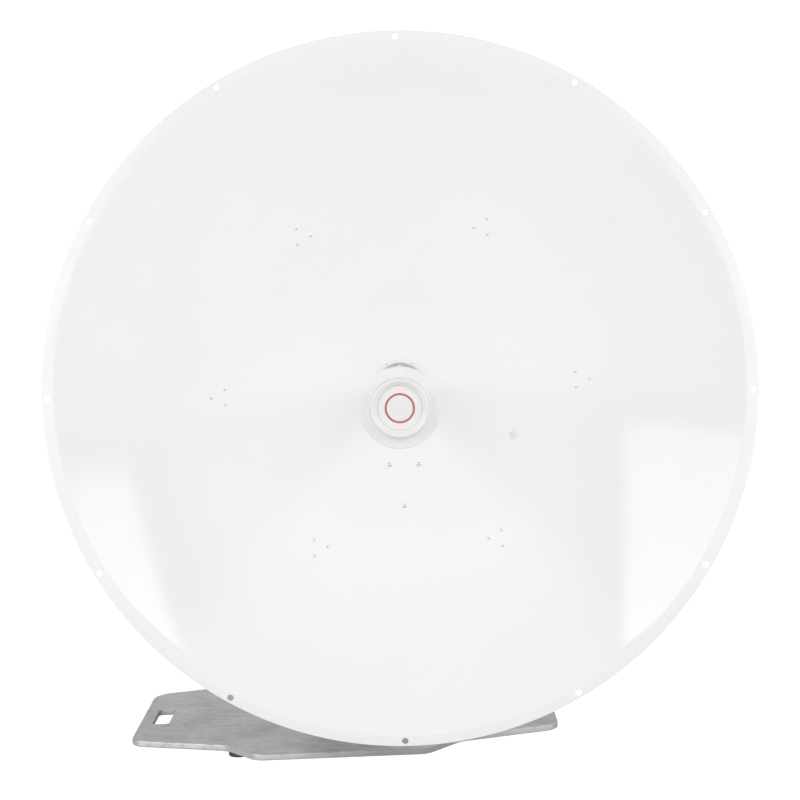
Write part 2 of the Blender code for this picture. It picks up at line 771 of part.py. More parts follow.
def build_stand(assembly, looks):
    stand = assembly.empty("stand", (MAST_X, MAST_Y, 0))
    steel = looks["galvanised"]
    assembly.add("base_plate", base_plate(), steel, stand)
    feet = {
        "foot_front_left": (FOOT_LEFT, -FOOT_Y, 0),
        "foot_front_right": (FOOT_RIGHT, -FOOT_Y, 0),
        "foot_rear_left": (FOOT_LEFT, FOOT_Y, 0),
        "foot_rear_right": (FOOT_RIGHT, FOOT_Y, 0),
    }
    first = None
    for name, place in feet.items():
        if first is None:
            first = assembly.add(name, foot(), looks["rubber"], stand, place)
        else:
            assembly.add_copy(name, first, place)
    assembly.add("mast_socket", mast_socket(), steel, stand)
    bottom = PLATE_TOP + GAP
    assembly.add("mast", tube(MAST_RADIUS, MAST_RADIUS - MAST_WALL, bottom, MAST_TOP), steel, stand)
    assembly.add("mast_cap", mast_cap(), looks["black_plastic"], stand)
    collar_top = PIVOT_HEIGHT + CLAMP_Z[0] - CLAMP_HEIGHT / 2 - GAP
    collar = tube(COLLAR_RADIUS, BORE, collar_top - COLLAR_HEIGHT, collar_top)
    assembly.add("mast_collar", collar, steel, stand)


def build_azimuth(assembly, looks):
    """What turns about the mast. Its empty is on the mast's axis, at the pivot's height."""
    azimuth = assembly.empty("azimuth_axis", (MAST_X, MAST_Y, PIVOT_HEIGHT))
    steel = looks["galvanised"]
    pivot_y = -PIVOT_AHEAD_OF_MAST
    assembly.add("azimuth_bracket", azimuth_bracket(), steel, azimuth, (0, pivot_y, 0))
    heights = dict(zip(("lower", "upper"), CLAMP_Z))
    saddle = assembly.add("saddle_lower", clamp_half(), looks["cast"], azimuth, (0, 0, heights["lower"]))
    assembly.add_copy("saddle_upper", saddle, (0, 0, heights["upper"]))
    for level, height in heights.items():
        assembly.add_copy("clamp_jaw_" + level, saddle, (0, 0, height), (0, 0, math.pi))
    stud = None
    for level, height in heights.items():
        for side, x in (("left", -STUD_X), ("right", STUD_X)):
            name = "clamp_stud_" + level + "_" + side
            if stud is None:
                stud = assembly.add(name, clamp_stud(), looks["zinc"], azimuth, (x, 0, height))
            else:
                assembly.add_copy(name, stud, (x, 0, height))
    assembly.add("pivot_bolt", pivot_bolt(), looks["zinc"], azimuth, (0, pivot_y, 0))
    lock_place = (0, pivot_y, LOCK_RADIUS)
    right = assembly.add("lock_bolt_right", lock_bolt(), looks["zinc"], azimuth, lock_place)
    assembly.add_copy("lock_bolt_left", right, lock_place, (0, 0, math.pi))
    return azimuth


def build_dish(assembly, looks, azimuth):
    """What tilts about the pivot. One empty is on the pivot and one on the dish's axis."""
    elevation = assembly.empty("elevation_axis", (0, -PIVOT_AHEAD_OF_MAST, 0), azimuth)
    vertex = (-MAST_X, -PIVOT_BEHIND_VERTEX, PIVOT_BELOW_AXIS)
    dish = assembly.empty("dish_axis", vertex, elevation, (math.pi / 2, 0, 0))
    assembly.add("elevation_yoke", elevation_yoke(), looks["galvanised"], elevation)
    frame_turn = (0, 0, FRAME_TURN)
    assembly.add("back_frame", back_frame(), looks["galvanised"], dish, turn=frame_turn)
    pad = assembly.add("frame_pad_1", frame_pad(), looks["cast"], dish, turn=frame_turn)
    for index in range(1, ARM_COUNT):
        turn = (0, 0, FRAME_TURN + index * 2 * math.pi / ARM_COUNT)
        assembly.add_copy("frame_pad_" + str(index + 1), pad, turn=turn)
    assembly.add("reflector", reflector(), looks["white_paint"], dish)
    assembly.add("hub_disc", hub_disc(), looks["dark_metal"], dish)
    assembly.add("hub_sleeve", hub_sleeve(), looks["cast"], dish)
    assembly.add("hub_ring", hub_ring(), looks["zinc"], dish)
    feed_tube = tube(TUBE_RADIUS, TUBE_BORE, TUBE_REAR, TUBE_FRONT)
    assembly.add("feed_tube", feed_tube, looks["aluminium"], dish)
    assembly.add("waveguide_flange", waveguide_flange(), looks["aluminium"], dish)
    assembly.add("dielectric_cone", dielectric_cone(), looks["plastic"], dish)
    assembly.add("splash_plate", splash_plate(), looks["aluminium"], dish)
    assembly.add("feed_cap", feed_cap(), looks["plastic"], dish)
    assembly.add("lashing_lug", lashing_lug(), looks["galvanised"], dish)


def main():
    clear_scene()
    looks = {
        "white_paint": make_material("white_paint", (0.86, 0.86, 0.86), 0.25),
        "galvanised": make_material("galvanised", (0.46, 0.46, 0.47), 0.45, 0.85),
        "cast": make_material("cast_aluminium", (0.55, 0.56, 0.57), 0.50, 0.90),
        "zinc": make_material("zinc_plated", (0.62, 0.63, 0.64), 0.30, 0.95),
        "dark_metal": make_material("dark_metal", (0.16, 0.17, 0.18), 0.45, 0.60),
        "aluminium": make_material("aluminium", (0.72, 0.72, 0.73), 0.30, 0.95),
        "plastic": make_material("off_white_plastic", (0.80, 0.79, 0.76), 0.40),
        "black_plastic": make_material("black_plastic", (0.03, 0.03, 0.03), 0.50),
        "rubber": make_material("rubber", (0.04, 0.04, 0.04), 0.80),
    }
    assembly = Assembly("microwave_dish_antenna")
    build_stand(assembly, looks)
    azimuth = build_azimuth(assembly, looks)
    build_dish(assembly, looks, azimuth)


main()
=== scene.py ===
import json
from math import asin, atan, atan2, ceil, copysign, cos, hypot, pi, radians, sin, tan

import bmesh
import bpy
from mathutils import Matrix, Vector

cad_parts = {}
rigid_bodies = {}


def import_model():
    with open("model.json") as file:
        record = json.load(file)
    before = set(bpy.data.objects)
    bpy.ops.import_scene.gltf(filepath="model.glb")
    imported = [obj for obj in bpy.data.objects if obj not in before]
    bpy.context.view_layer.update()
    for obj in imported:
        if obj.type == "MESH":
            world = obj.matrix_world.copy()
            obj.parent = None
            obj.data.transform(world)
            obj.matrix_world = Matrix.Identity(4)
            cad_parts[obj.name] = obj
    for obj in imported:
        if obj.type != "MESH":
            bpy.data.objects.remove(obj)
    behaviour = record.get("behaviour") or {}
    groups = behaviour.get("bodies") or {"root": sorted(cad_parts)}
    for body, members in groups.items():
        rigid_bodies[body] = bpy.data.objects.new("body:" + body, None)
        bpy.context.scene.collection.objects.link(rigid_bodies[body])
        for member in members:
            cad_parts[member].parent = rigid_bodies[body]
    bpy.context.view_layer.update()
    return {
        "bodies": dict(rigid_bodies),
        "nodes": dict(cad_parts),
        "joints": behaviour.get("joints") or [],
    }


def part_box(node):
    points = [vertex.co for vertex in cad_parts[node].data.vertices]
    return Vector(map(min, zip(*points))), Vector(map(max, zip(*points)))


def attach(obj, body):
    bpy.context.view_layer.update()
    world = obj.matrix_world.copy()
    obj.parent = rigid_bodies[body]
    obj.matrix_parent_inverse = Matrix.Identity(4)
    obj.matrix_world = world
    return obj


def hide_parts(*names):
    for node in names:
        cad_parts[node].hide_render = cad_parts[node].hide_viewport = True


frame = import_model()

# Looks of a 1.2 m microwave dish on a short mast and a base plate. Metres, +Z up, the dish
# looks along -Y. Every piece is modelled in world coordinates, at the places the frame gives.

# Places read from the frame
RIM_LOW, RIM_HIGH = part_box("reflector")
PLATE_LOW, PLATE_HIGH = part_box("base_plate")
MAST_LOW, MAST_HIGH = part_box("mast")
DISH_RADIUS = (RIM_HIGH.x - RIM_LOW.x) / 2
AXIS_Z = (RIM_HIGH.z + RIM_LOW.z) / 2
RIM_Y = RIM_LOW.y
MAST = Vector(((MAST_LOW.x + MAST_HIGH.x) / 2, (MAST_LOW.y + MAST_HIGH.y) / 2, 0))
MAST_RADIUS = (MAST_HIGH.x - MAST_LOW.x) / 2
PIVOT = Vector(next(joint["pos_m"] for joint in frame["joints"] if joint["name"] == "elevation"))

# The photograph's view
CAMERA_FROM_RIM = Vector((0.0132, -2.8253, 0.2168))
CAMERA_YAW = radians(0.278)
CAMERA_PITCH = radians(4.576)
CAMERA_ROLL = radians(2.366)
CAMERA_LENS = 76.27

# Studio: what the bowl mirrors seems to come from one point a little ahead of its focus
MIRROR_POINT_AHEAD = 0.48
MIRROR_POINT_DROP = 0.035
PANEL_DISTANCE = 3.0
PANEL_RADIANCE = (2.1, 4.3)
PANEL_SIDE_SOFT = 0.06
PANELS = (
    ("softbox_right", 41, 80, 2.6, 42, 0.30, -0.16),
    ("softbox_left", -40.8, -78, 1.9, 44, 0.12, 0.02),
)
BACKDROP_RADIANCE = 1.05
FLOOR_EMISSION = (0.465, 1.00)
FLOOR_GLOW = (0.0, -2.7, 1.4, 1.20)

# The sky's radiance from the rear, past the sides, to the front. A stop is (place, level).
SKY_PEAK = 1.78
SKY_STOPS = (
    (0.0, 0.395), (0.42, 0.333), (0.55, 0.237), (0.80, 0.335), (0.90, 0.385), (0.95, 0.57),
    (0.982, 1.0), (0.993, 0.95), (1.0, 0.90),
)
SKY_FROM_RIGHT = 0.15

# Reflector: a parabola with a flat rim flange
BOWL_RADIUS = 0.580
FOCAL_LENGTH = 0.420
SKIN = 0.003
CENTRE_HOLE_RADIUS = 0.030
RIM_BEND = 0.006
RIM_EDGE = 0.0012
RIM_HOLE_COUNT = 12
RIM_HOLE_RADIUS = 0.0055
RIM_HOLE_CIRCLE = 0.591
RIM_HOLE_TURN = radians(-1.5)
# A smudge on the front: x, y, radius, and how far ahead of the skin its ball is centred
SMUDGE = (0.194, -0.0926, 0.009, 0.012)

# Back frame and its pads
FRAME_TURN = radians(0.6)
ARM_COUNT = 6
ARM_ANGLES = [FRAME_TURN + index * pi / 3 for index in range(ARM_COUNT)]
FRAME_HUB_RADIUS = 0.120
ARM_HALF_WIDTH = 0.030
ARM_SLOT_HALF_WIDTH = 0.010
ARM_SLOT = (0.165, 0.265)
PAD_CIRCLE = 0.3165
PAD_RADIUS = 0.028
PAD_THICKNESS = 0.010
POST_RADIUS = 0.012
POST_FOOT_RADIUS = 0.022
POST_FOOT = 0.006

# Rivets and screws in the skin. A place is (x, y) from the dish's axis.
RIVET_TRIANGLE = 0.0156
# A rivet is the radius and height of its head, the radius of its bore and the mandrel's height.
RIVET = (0.0040, 0.0013, 0.0014, 0.0001)
HUB_RIVET = (0.0030, 0.0010, 0.0009, 0.0004)
HUB_RIVET_CIRCLE = 0.0475
LUG_SCREW_HEAD = (0.0036, 0.0022)
HUB_SCREW_HEAD = (0.0031, 0.0018)
LUG_SCREWS = ((-0.0251, -0.1397), (0.0270, -0.1409), (-0.0007, -0.2124))

# Hub and feed
TUBE_RADIUS = 0.016
TUBE_BORE = 0.013
HUB_NECK_RADIUS = 0.028
HUB_SCREW_CIRCLE = 0.0350
RING_NOTCH = (0.004, 0.003)
PORT_THICKNESS = 0.008
PORT_CORNER = 0.005
PORT_SLEEVE_RADIUS = 0.021
PORT_HOLE_RADIUS = 0.0023
PORT_HOLE_PLACE = 0.021
CONE_NECK_RADIUS = 0.020
CONE_NECK_LENGTH = 0.012
CONE_RIM = 0.008
CAP_RIDGE_RADIUS = 0.0468
CAP_CREST = (0.0412, 0.0440)
CAP_GROOVE = (0.0336, 0.0345, 0.0007)
CAP_BRIM_STEP = 0.012
CAP_RECESS_DEPTH = 0.006
CAP_FILLET = 0.004
LABEL_RADIUS = 0.0230
LABEL_RING_INNER = 0.0198
LABEL_THICKNESS = 0.0002

# Lashing lug
LUG_RADIUS = 0.172
LUG_PLATE = 0.005
LUG_PLATE_CORNERS = ((0, -0.062, 0.014), (0.042, 0.046, 0.012), (-0.042, 0.046, 0.012))
LUG_REACH = 0.055
LUG_FIN = 0.008
LUG_FIN_HALF_LENGTH = 0.024
LUG_FIN_CORNER = 0.014
LUG_HOLE_RADIUS = 0.008
LUG_HOLE_FROM_TIP = 0.020

# Base plate: a corner is x, y, radius, on the right half, and the corners go round from the front
PLATE_FRONT = ((0.155, 0.289, 0.035), (0.2155, 0.219, 0.045), (0.400, 0.163, 0.034))
PLATE_REAR = ((0.402, 0.178, 0.045), (0.2155, 0.233, 0.045), (0.155, 0.289, 0.035))
PLATE_EDGE = 0.0024
HANDLE_SLOT = (0.016, 0.053, 0.008)
HANDLE_SLOT_X = 0.360

# Mast and socket
MAST_WALL = 0.004
SOCKET_RADIUS = 0.054
SOCKET_FLANGE = (0.110, 0.012)
GUSSET_THICKNESS = 0.008
GUSSET_REACH = 0.100
GUSSET_HEIGHT = 0.085
GUSSET_TOE = 0.012
GUSSET_SHOULDER = 0.014
ANCHOR_CIRCLE = 0.084

# Clamps, bracket and yoke, the last two measured from the pivot. A corner is x, y, radius.
CLAMP_SPLIT = 0.003
CLAMP_EAR_DEPTH = 0.026
CLAMP_HALF = [
    (-0.095, -CLAMP_SPLIT, 0.001), (-0.095, -CLAMP_EAR_DEPTH, 0.004),
    (-0.062, -CLAMP_EAR_DEPTH, 0.006), (-0.050, -0.058, 0.006),
]
BRACKET_HALF_WIDTH = 0.060
BRACKET_PLATE = 0.008
BRACKET_BEND = 0.009
BRACKET_NOSE = 0.020
YOKE_HALF_WIDTH = 0.073
YOKE_PLATE = 0.008
YOKE_PANEL_THICKNESS = 0.010
YOKE_PANEL = (0.085, 0.175, 0.020)
YOKE_WINDOW = (0.024, 0.050, 0.010)
YOKE_CHEEK = (-0.080, 0.200)
YOKE_TOP_CORNER = (-0.036, 0.180, 0.030)
YOKE_HEEL_CORNER = (-0.030, -0.034, 0.028)
YOKE_BOLTS = ((-0.045, 0), (0.045, -0.058), (0.045, 0.058), (0.037, -0.158), (0.037, 0.158))
LOCK_RADIUS = 0.150
LOCK_SLOT_HALF_WIDTH = 0.009
LOCK_SLOT_ENDS = (radians(96.2), radians(73.8))

# Fasteners: rod radius and thread pitch
M16 = (0.008, 0.0020)
M12 = (0.006, 0.00175)
M10 = (0.005, 0.0015)
M5 = (0.0025, 0.0008)
WASHER_THICKNESS = 0.0025
NUT = 0.010

GAP = 0.0003
CLEARANCE = 0.0004
BORE = MAST_RADIUS + CLEARANCE
EDGE = 0.0008
FULL_TURN = 2 * pi
QUARTER = pi / 2


def dish_depth(radius):
    return radius * radius / (4 * FOCAL_LENGTH)


def dish_slope(radius):
    return radius / (2 * FOCAL_LENGTH)


def dish_back(radius):
    return dish_depth(radius) - SKIN * hypot(1, dish_slope(radius))


def at(place):
    return Matrix.Translation(place)


def shift(x=0.0, y=0.0, z=0.0):
    return at((x, y, z))


def turn(angle, axis):
    return Matrix.Rotation(angle, 4, axis)


def around(count, radius, start=0.0):
    """Places evenly round Z, each with X pointing outwards."""
    return [turn(start + index * FULL_TURN / count, "Z") @ shift(x=radius) for index in range(count)]


RIM_DEPTH = dish_depth(BOWL_RADIUS)
LUG_SLOPE = atan(dish_slope(LUG_RADIUS))
VERTEX = Vector((0, RIM_Y + RIM_DEPTH, AXIS_Z))
DISH = at(VERTEX) @ turn(QUARTER, "X")
STAND = at(MAST)


def along_axis(node):
    """Radius, rear and front of a node turned about the dish's axis, measured from the vertex."""
    low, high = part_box(node)
    return (high.x - low.x) / 2, VERTEX.y - high.y, VERTEX.y - low.y


def linked(name, data):
    obj = bpy.data.objects.new(name, data)
    bpy.context.scene.collection.objects.link(obj)
    return obj


def as_mesh(name, shape):
    mesh = bpy.data.meshes.new(name)
    shape.to_mesh(mesh)
    shape.free()
    return mesh


def grey(value):
    return (value, value, value)


class Nodes:
    """Short calls that add shader nodes to a tree. An input is a value, or a socket to link."""

    def __init__(self, tree):
        self.tree = tree

    def feed(self, socket, value):
        if isinstance(value, bpy.types.NodeSocket):
            self.tree.links.new(value, socket)
        else:
            socket.default_value = value

    def node(self, kind, inputs=None, **settings):
        made = self.tree.nodes.new("ShaderNode" + kind)
        for name, value in settings.items():
            setattr(made, name, value)
        for name, value in (inputs or {}).items():
            self.feed(made.inputs[name], value)
        return made

    def part(self, vector, axis):
        return self.node("SeparateXYZ", {"Vector": vector}).outputs[axis]

    def math(self, operation, *values):
        return self.node("Math", dict(enumerate(values)), operation=operation).outputs["Value"]

    def remap(self, *values):
        """A value, the ends of the range it is in, and those of the range it goes to."""
        return self.node("MapRange", dict(enumerate(values))).outputs["Result"]

    def distance(self, place, centre):
        return self.node("VectorMath", {0: place, 1: centre}, operation="DISTANCE").outputs["Value"]

    def ramp(self, value, *stops):
        """A colour from a value. A stop is (position, colour)."""
        made = self.node("ValToRGB", {"Fac": value})
        elements = made.color_ramp.elements
        for element, (position, colour) in zip(elements, (stops[0], stops[-1])):
            element.position = position
            element.color = (*colour, 1)
        for position, colour in stops[1:-1]:
            elements.new(position).color = (*colour, 1)
        return made.outputs["Color"]

    def seen_or_lit(self, seen, lit):
        """One value for what the camera sees directly, another for the light that falls on things."""
        direct = self.node("LightPath").outputs["Is Camera Ray"]
        return self.remap(direct, 0.0, 1.0, lit, seen)


# Camera and light

def clear_default_objects():
    kept = set(frame["nodes"].values()) | set(frame["bodies"].values())
    for obj in list(bpy.data.objects):
        if obj not in kept:
            bpy.data.objects.remove(obj, do_unlink=True)


def add_camera():
    data = bpy.data.cameras.new("camera")
    data.sensor_width = 36
    data.lens = CAMERA_LENS
    camera = linked("camera", data)
    place = Vector((0, RIM_Y, AXIS_Z)) + CAMERA_FROM_RIM
    aim = turn(CAMERA_YAW, "Z") @ turn(QUARTER - CAMERA_PITCH, "X") @ turn(-CAMERA_ROLL, "Z")
    camera.matrix_world = at(place) @ aim
    bpy.context.scene.camera = camera


def add_panel(name, inner, outer, low, high, foot, lean):
    """A light panel that is brighter towards its top.

    Its angles are in degrees, seen from the mirror point. Its light fades in over the lowest foot
    metres. Its inner side leans outwards by lean for each metre of height, inwards if negative.
    """
    inner, outer, low, high = (radians(angle) for angle in (inner, outer, low, high))
    middle = (inner + outer) / 2
    width = 2 * PANEL_DISTANCE * tan(abs(outer - inner) / 2)
    start = VERTEX + Vector((0, -MIRROR_POINT_AHEAD, -MIRROR_POINT_DROP))
    bottom = start.z + PANEL_DISTANCE * tan(low)
    top = start.z + PANEL_DISTANCE * tan(high)
    way = Vector((sin(middle), -cos(middle), 0))
    outwards = Vector((cos(middle), sin(middle), 0)) * copysign(1, middle)
    data = bpy.data.lights.new(name, "AREA")
    data.shape = "RECTANGLE"
    data.size = width
    data.size_y = top - bottom
    data.energy = PANEL_RADIANCE[1] * pi * width * (top - bottom)
    light = linked(name, data)
    light.location = Vector((start.x, start.y, (bottom + top) / 2)) + PANEL_DISTANCE * way
    light.rotation_euler = (-way).to_track_quat("-Z", "Y").to_euler()

    data.use_nodes = True
    nodes = Nodes(data.node_tree)
    place = nodes.node("NewGeometry").outputs["Position"]
    height = nodes.part(place, "Z")
    level = nodes.remap(height, bottom, top, PANEL_RADIANCE[0] / PANEL_RADIANCE[1], 1.0)
    rise = nodes.remap(height, bottom, bottom + foot, 0.0, 1.0)
    across = nodes.node("VectorMath", {0: place, 1: outwards}, operation="DOT_PRODUCT").outputs["Value"]
    leant = nodes.math("MULTIPLY_ADD", height, -lean, across)
    side = light.location.dot(outwards) - width / 2 - lean * (bottom if lean > 0 else top)
    inside = nodes.remap(leant, side, side + PANEL_SIDE_SOFT, 0.0, 1.0)
    shade = nodes.math("MULTIPLY", nodes.math("MULTIPLY", level, rise), inside)
    nodes.feed(nodes.tree.nodes["Emission"].inputs["Strength"], shade)


def add_sky():
    """White behind everything, and for the light a soft sky that is brightest behind the camera."""
    sky = bpy.data.worlds.new("studio")
    bpy.context.scene.world = sky
    sky.use_nodes = True
    nodes = Nodes(sky.node_tree)
    background = nodes.tree.nodes["Background"]
    background.inputs["Color"].default_value = (1, 1, 1, 1)
    way = nodes.node("TexCoord").outputs["Generated"]
    facing = nodes.remap(nodes.part(way, "Y"), 1.0, -1.0, 0.0, 1.0)
    level = nodes.ramp(facing, *[(position, grey(level)) for position, level in SKY_STOPS])
    low, high = (SKY_PEAK * (1 + side * SKY_FROM_RIGHT) for side in (-1, 1))
    side = nodes.remap(nodes.part(way, "X"), -1.0, 1.0, low, high)
    strength = nodes.seen_or_lit(BACKDROP_RADIANCE, nodes.math("MULTIPLY", level, side))
    nodes.feed(background.inputs["Strength"], strength)


def add_floor():
    """A pale floor. For the light it glows less than for the eye, and most in front of the dish."""
    shape = bmesh.new()
    bmesh.ops.create_grid(shape, x_segments=8, y_segments=8, size=40)
    look = Finish("floor")
    look.set("Base Color", (0.35, 0.35, 0.35, 1))
    look.set("Roughness", 0.8)
    look.set("Specular IOR Level", 0.0)
    look.set("Emission Color", (1, 1, 1, 1))
    x, y, reach, gain = FLOOR_GLOW
    away = look.distance(look.place, (x, y, 0))
    glow = look.remap(away, 0.0, reach, FLOOR_EMISSION[0] + gain, FLOOR_EMISSION[0])
    look.set("Emission Strength", look.seen_or_lit(FLOOR_EMISSION[1], glow))
    mesh = as_mesh("floor", shape)
    mesh.materials.append(look.material)
    linked("floor", mesh)


# Materials. A piece names its looks, which main() puts here.

LOOKS = {}


def zinc(value):
    return (1.007 * value, 0.991 * value, 1.004 * value)


class Finish(Nodes):
    """A Principled material."""

    def __init__(self, name, metallic=0.0):
        self.material = bpy.data.materials.new(name)
        self.material.use_nodes = True
        super().__init__(self.material.node_tree)
        self.shader = self.tree.nodes["Principled BSDF"]
        self.place = self.node("TexCoord").outputs["Object"]
        self.relief = None
        self.set("Metallic", metallic)

    def set(self, socket, value):
        self.feed(self.shader.inputs[socket], value)

    def noise(self, scale, detail=3.0, stretch=(1, 1, 1), roughness=0.5):
        place = self.node("Mapping", {"Vector": self.place, "Scale": stretch}).outputs["Vector"]
        inputs = {"Vector": place, "Scale": scale, "Detail": detail, "Roughness": roughness}
        return self.node("TexNoise", inputs).outputs["Fac"]

    def mix(self, factor, first, second):
        """Two colours mixed: 0 gives the first."""
        return self.node("Mix", {0: factor, 6: first, 7: second}, data_type="RGBA").outputs[2]

    def bump(self, height, distance, strength=1.0):
        inputs = {"Height": height, "Distance": distance, "Strength": strength}
        if self.relief is not None:
            inputs["Normal"] = self.relief
        self.relief = self.node("Bump", inputs).outputs["Normal"]
        self.set("Normal", self.relief)


def white_paint(name, shade=0.0):
    """Gloss paint. The shade is how far painted shade darkens it towards the dish's top."""
    look = Finish(name)
    colour = look.ramp(look.noise(3.0, 2.0), (0.3, grey(0.799)), (0.7, grey(0.815)))
    # Painted shade: above the dish's axis the colour turns greyer, most towards the top.
    darkening = look.remap(look.part(look.place, "Z"), AXIS_Z, AXIS_Z + 0.8 * DISH_RADIUS, 0.0, shade)
    colour = look.mix(darkening, colour, (*grey(0.50), 1))
    x, y, radius, ahead = SMUDGE
    centre = DISH @ Vector((x, y, dish_depth(hypot(x, y)) + ahead))
    away = look.distance(look.place, centre)
    spot = look.remap(away, hypot(ahead, 0.25 * radius), hypot(ahead, radius), 1.0, 0.0)
    blotch = look.remap(look.noise(320, 2.0), 0.35, 0.6, 0.3, 1.0)
    colour = look.mix(look.math("MULTIPLY", spot, blotch), colour, (*grey(0.66), 1))
    look.set("Base Color", colour)
    look.set("Roughness", look.remap(look.noise(9, 3.0), 0.35, 0.65, 0.055, 0.085))
    look.bump(look.noise(7, 1.0), 0.0012, 0.35)
    look.bump(look.noise(420, 1.0), 0.00002, 0.5)
    return look.material


def galvanised(name, tone, streaks=0.0, edge=False):
    """Hot-dip zinc: soft clouds, small crystals and, on rolled plate, long streaks.

    A cut edge has painted shade below the dish, along its foot and where it faces sideways, and dark
    flecks.
    """
    look = Finish(name, 0.55)
    cloud = look.noise(9, 4.0)
    cells = look.node("TexVoronoi", {"Vector": look.place, "Scale": 95}).outputs["Color"]
    crystal = look.node("SeparateColor", {"Color": cells}).outputs[0]
    pattern = look.math("ADD", look.math("MULTIPLY", cloud, 0.72), look.math("MULTIPLY", crystal, 0.14))
    if streaks:
        streak = look.noise(16, 5.0, (1, 9, 9), 0.62)
        pattern = look.math("ADD", pattern, look.math("MULTIPLY", streak, streaks))
        pattern = look.math("SUBTRACT", pattern, 0.5 * streaks)
    colour = look.ramp(pattern, (0.24, zinc(0.80 * tone)), (0.44, zinc(tone)), (0.66, zinc(1.16 * tone)))
    if edge:
        facing = look.part(look.node("TexCoord").outputs["Normal"], "X")
        foot = PLATE_LOW.z + 0.0015
        shade = 0.0
        # Painted shade under the dish, on faces turned sideways and along the foot. The noise adds dark
        # flecks.
        for darkening in (
            look.remap(look.math("ABSOLUTE", look.part(look.place, "X")), 0.30, 0.06, 0.0, 0.75),
            look.remap(look.math("ABSOLUTE", facing), 0.40, 1.0, 0.0, 0.75),
            look.remap(look.part(look.place, "Z"), foot + 0.002, foot, 0.0, 0.7),
            look.remap(look.noise(70, 3.0), 0.52, 0.70, 0.0, 0.35),
        ):
            shade = look.math("MAXIMUM", darkening, shade)
        colour = look.mix(shade, colour, (*zinc(0.42 * tone), 1))
    look.set("Base Color", colour)
    look.set("Roughness", look.remap(look.noise(60, 4.0), 0.3, 0.7, 0.42, 0.60))
    look.bump(look.noise(240, 4.0), 0.0002, 0.6)
    look.bump(look.noise(26, 2.0), 0.0008, 0.5)
    return look.material


def plain(name, metallic, tint, dark, pale, rough, shine, grain=None, relief=(0, 0), stops=(0.3, 0.7)):
    """A look whose colour and roughness follow a noise each, over a fine grain.

    A noise is (scale, detail) and perhaps how it is stretched. Shine holds the least and most
    roughness, and relief the grain's depth and strength.
    """
    look = Finish(name, metallic)
    look.set("Base Color", look.ramp(look.noise(*tint), (stops[0], dark), (stops[1], pale)))
    look.set("Roughness", look.remap(look.noise(*rough), 0.3, 0.7, *shine))
    if grain:
        look.bump(look.noise(*grain), *relief)
    return look.material


# Shapes: each function returns a bmesh

def polar(radius, angle):
    return radius * cos(angle), radius * sin(angle)


def arc(centre, radius, start, end, steps):
    points = [polar(radius, start + (end - start) * step / steps) for step in range(steps + 1)]
    return [(centre[0] + x, centre[1] + y) for x, y in points]


def circle(centre, radius, steps=48):
    return arc(centre, radius, 0, FULL_TURN, steps)[:-1]


def rounded(corners, steps=8):
    """An outline or profile whose corners (x, y, radius) are rounded."""
    outline = []
    for index, (x, y, radius) in enumerate(corners):
        if radius == 0:
            outline.append((x, y))
            continue
        before = corners[index - 1]
        after = corners[(index + 1) % len(corners)]
        into = atan2(y - before[1], x - before[0])
        out = atan2(after[1] - y, after[0] - x)
        bend = (out - into + pi) % (FULL_TURN) - pi
        side = copysign(QUARTER, bend)
        reach = radius * tan(abs(bend) / 2)
        start = (x - reach * cos(into), y - reach * sin(into))
        centre = (start[0] + radius * cos(into + side), start[1] + radius * sin(into + side))
        outline += arc(centre, radius, into - side, into - side + bend, steps)
    return outline


def mirrored(half):
    """The corners (x, y, radius) of half an outline, then their mirror images back to the start."""
    return half + [(-x, y, radius) for x, y, radius in half[::-1]]


def rounded_box(half_width, half_height, radius, centre=(0, 0)):
    signs = ((-1, -1), (1, -1), (1, 1), (-1, 1))
    corners = [(centre[0] + i * half_width, centre[1] + j * half_height, radius) for i, j in signs]
    return rounded(corners)


def moved(shape, matrix):
    bmesh.ops.transform(shape, matrix=matrix, verts=shape.verts)
    return shape


def turned(profile, segments=96, closed=False):
    """Turn (radius, height) points about Z. A point on the axis becomes one vertex."""
    shape = bmesh.new()
    step = FULL_TURN / segments
    rings = []
    for radius, height in profile:
        count = 1 if radius < 1e-7 else segments
        rings.append([shape.verts.new((*polar(radius, i * step), height)) for i in range(count)])
    pairs = list(zip(rings, rings[1:]))
    if closed:
        pairs.append((rings[-1], rings[0]))
    for upper, lower in pairs:
        for i in range(segments):
            j = (i + 1) % segments
            corners = [row[k % len(row)] for row, k in ((upper, i), (lower, i), (lower, j), (upper, j))]
            shape.faces.new(list(dict.fromkeys(corners)))
    return shape


def ring(inner, outer, low, high, edge=EDGE, segments=96):
    corners = ((inner, high, edge), (outer, high, edge), (outer, low, edge), (inner, low, edge))
    return turned(rounded(corners, 3), segments, closed=True)


def disc(radius, low, high, edge=EDGE, segments=96):
    corners = ((0, high, 0), (radius, high, edge), (radius, low, edge), (0, low, 0))
    return turned(rounded(corners, 3), segments)


def evaluated(obj):
    bpy.context.view_layer.update()
    mesh = bpy.data.meshes.new_from_object(obj.evaluated_get(bpy.context.evaluated_depsgraph_get()))
    shape = bmesh.new()
    shape.from_mesh(mesh)
    bmesh.ops.remove_doubles(shape, verts=shape.verts, dist=0.000001)
    bpy.data.objects.remove(obj, do_unlink=True)
    bpy.data.meshes.remove(mesh)
    return shape


def curve_through(lines, dimensions, bevel, closed):
    """A bevelled curve of straight pieces through the points of each line."""
    curve = bpy.data.curves.new("curve", "CURVE")
    curve.dimensions = dimensions
    curve.bevel_depth = bevel
    curve.bevel_resolution = 2
    for line in lines:
        spline = curve.splines.new("POLY")
        spline.points.add(len(line) - 1)
        spline.use_cyclic_u = closed
        for point, place in zip(spline.points, line):
            point.co = (*Vector(place).to_3d(), 1)
    return curve


def plate(outlines, thickness, edge=EDGE):
    """A plate centred on Z = 0 with rounded edges. The first outline is its edge, the others its holes."""
    curve = curve_through(outlines, "2D", edge, True)
    curve.fill_mode = "BOTH"
    curve.extrude = thickness / 2 - edge
    curve.offset = -edge
    return dyed(evaluated(linked("plate", curve)), 0)


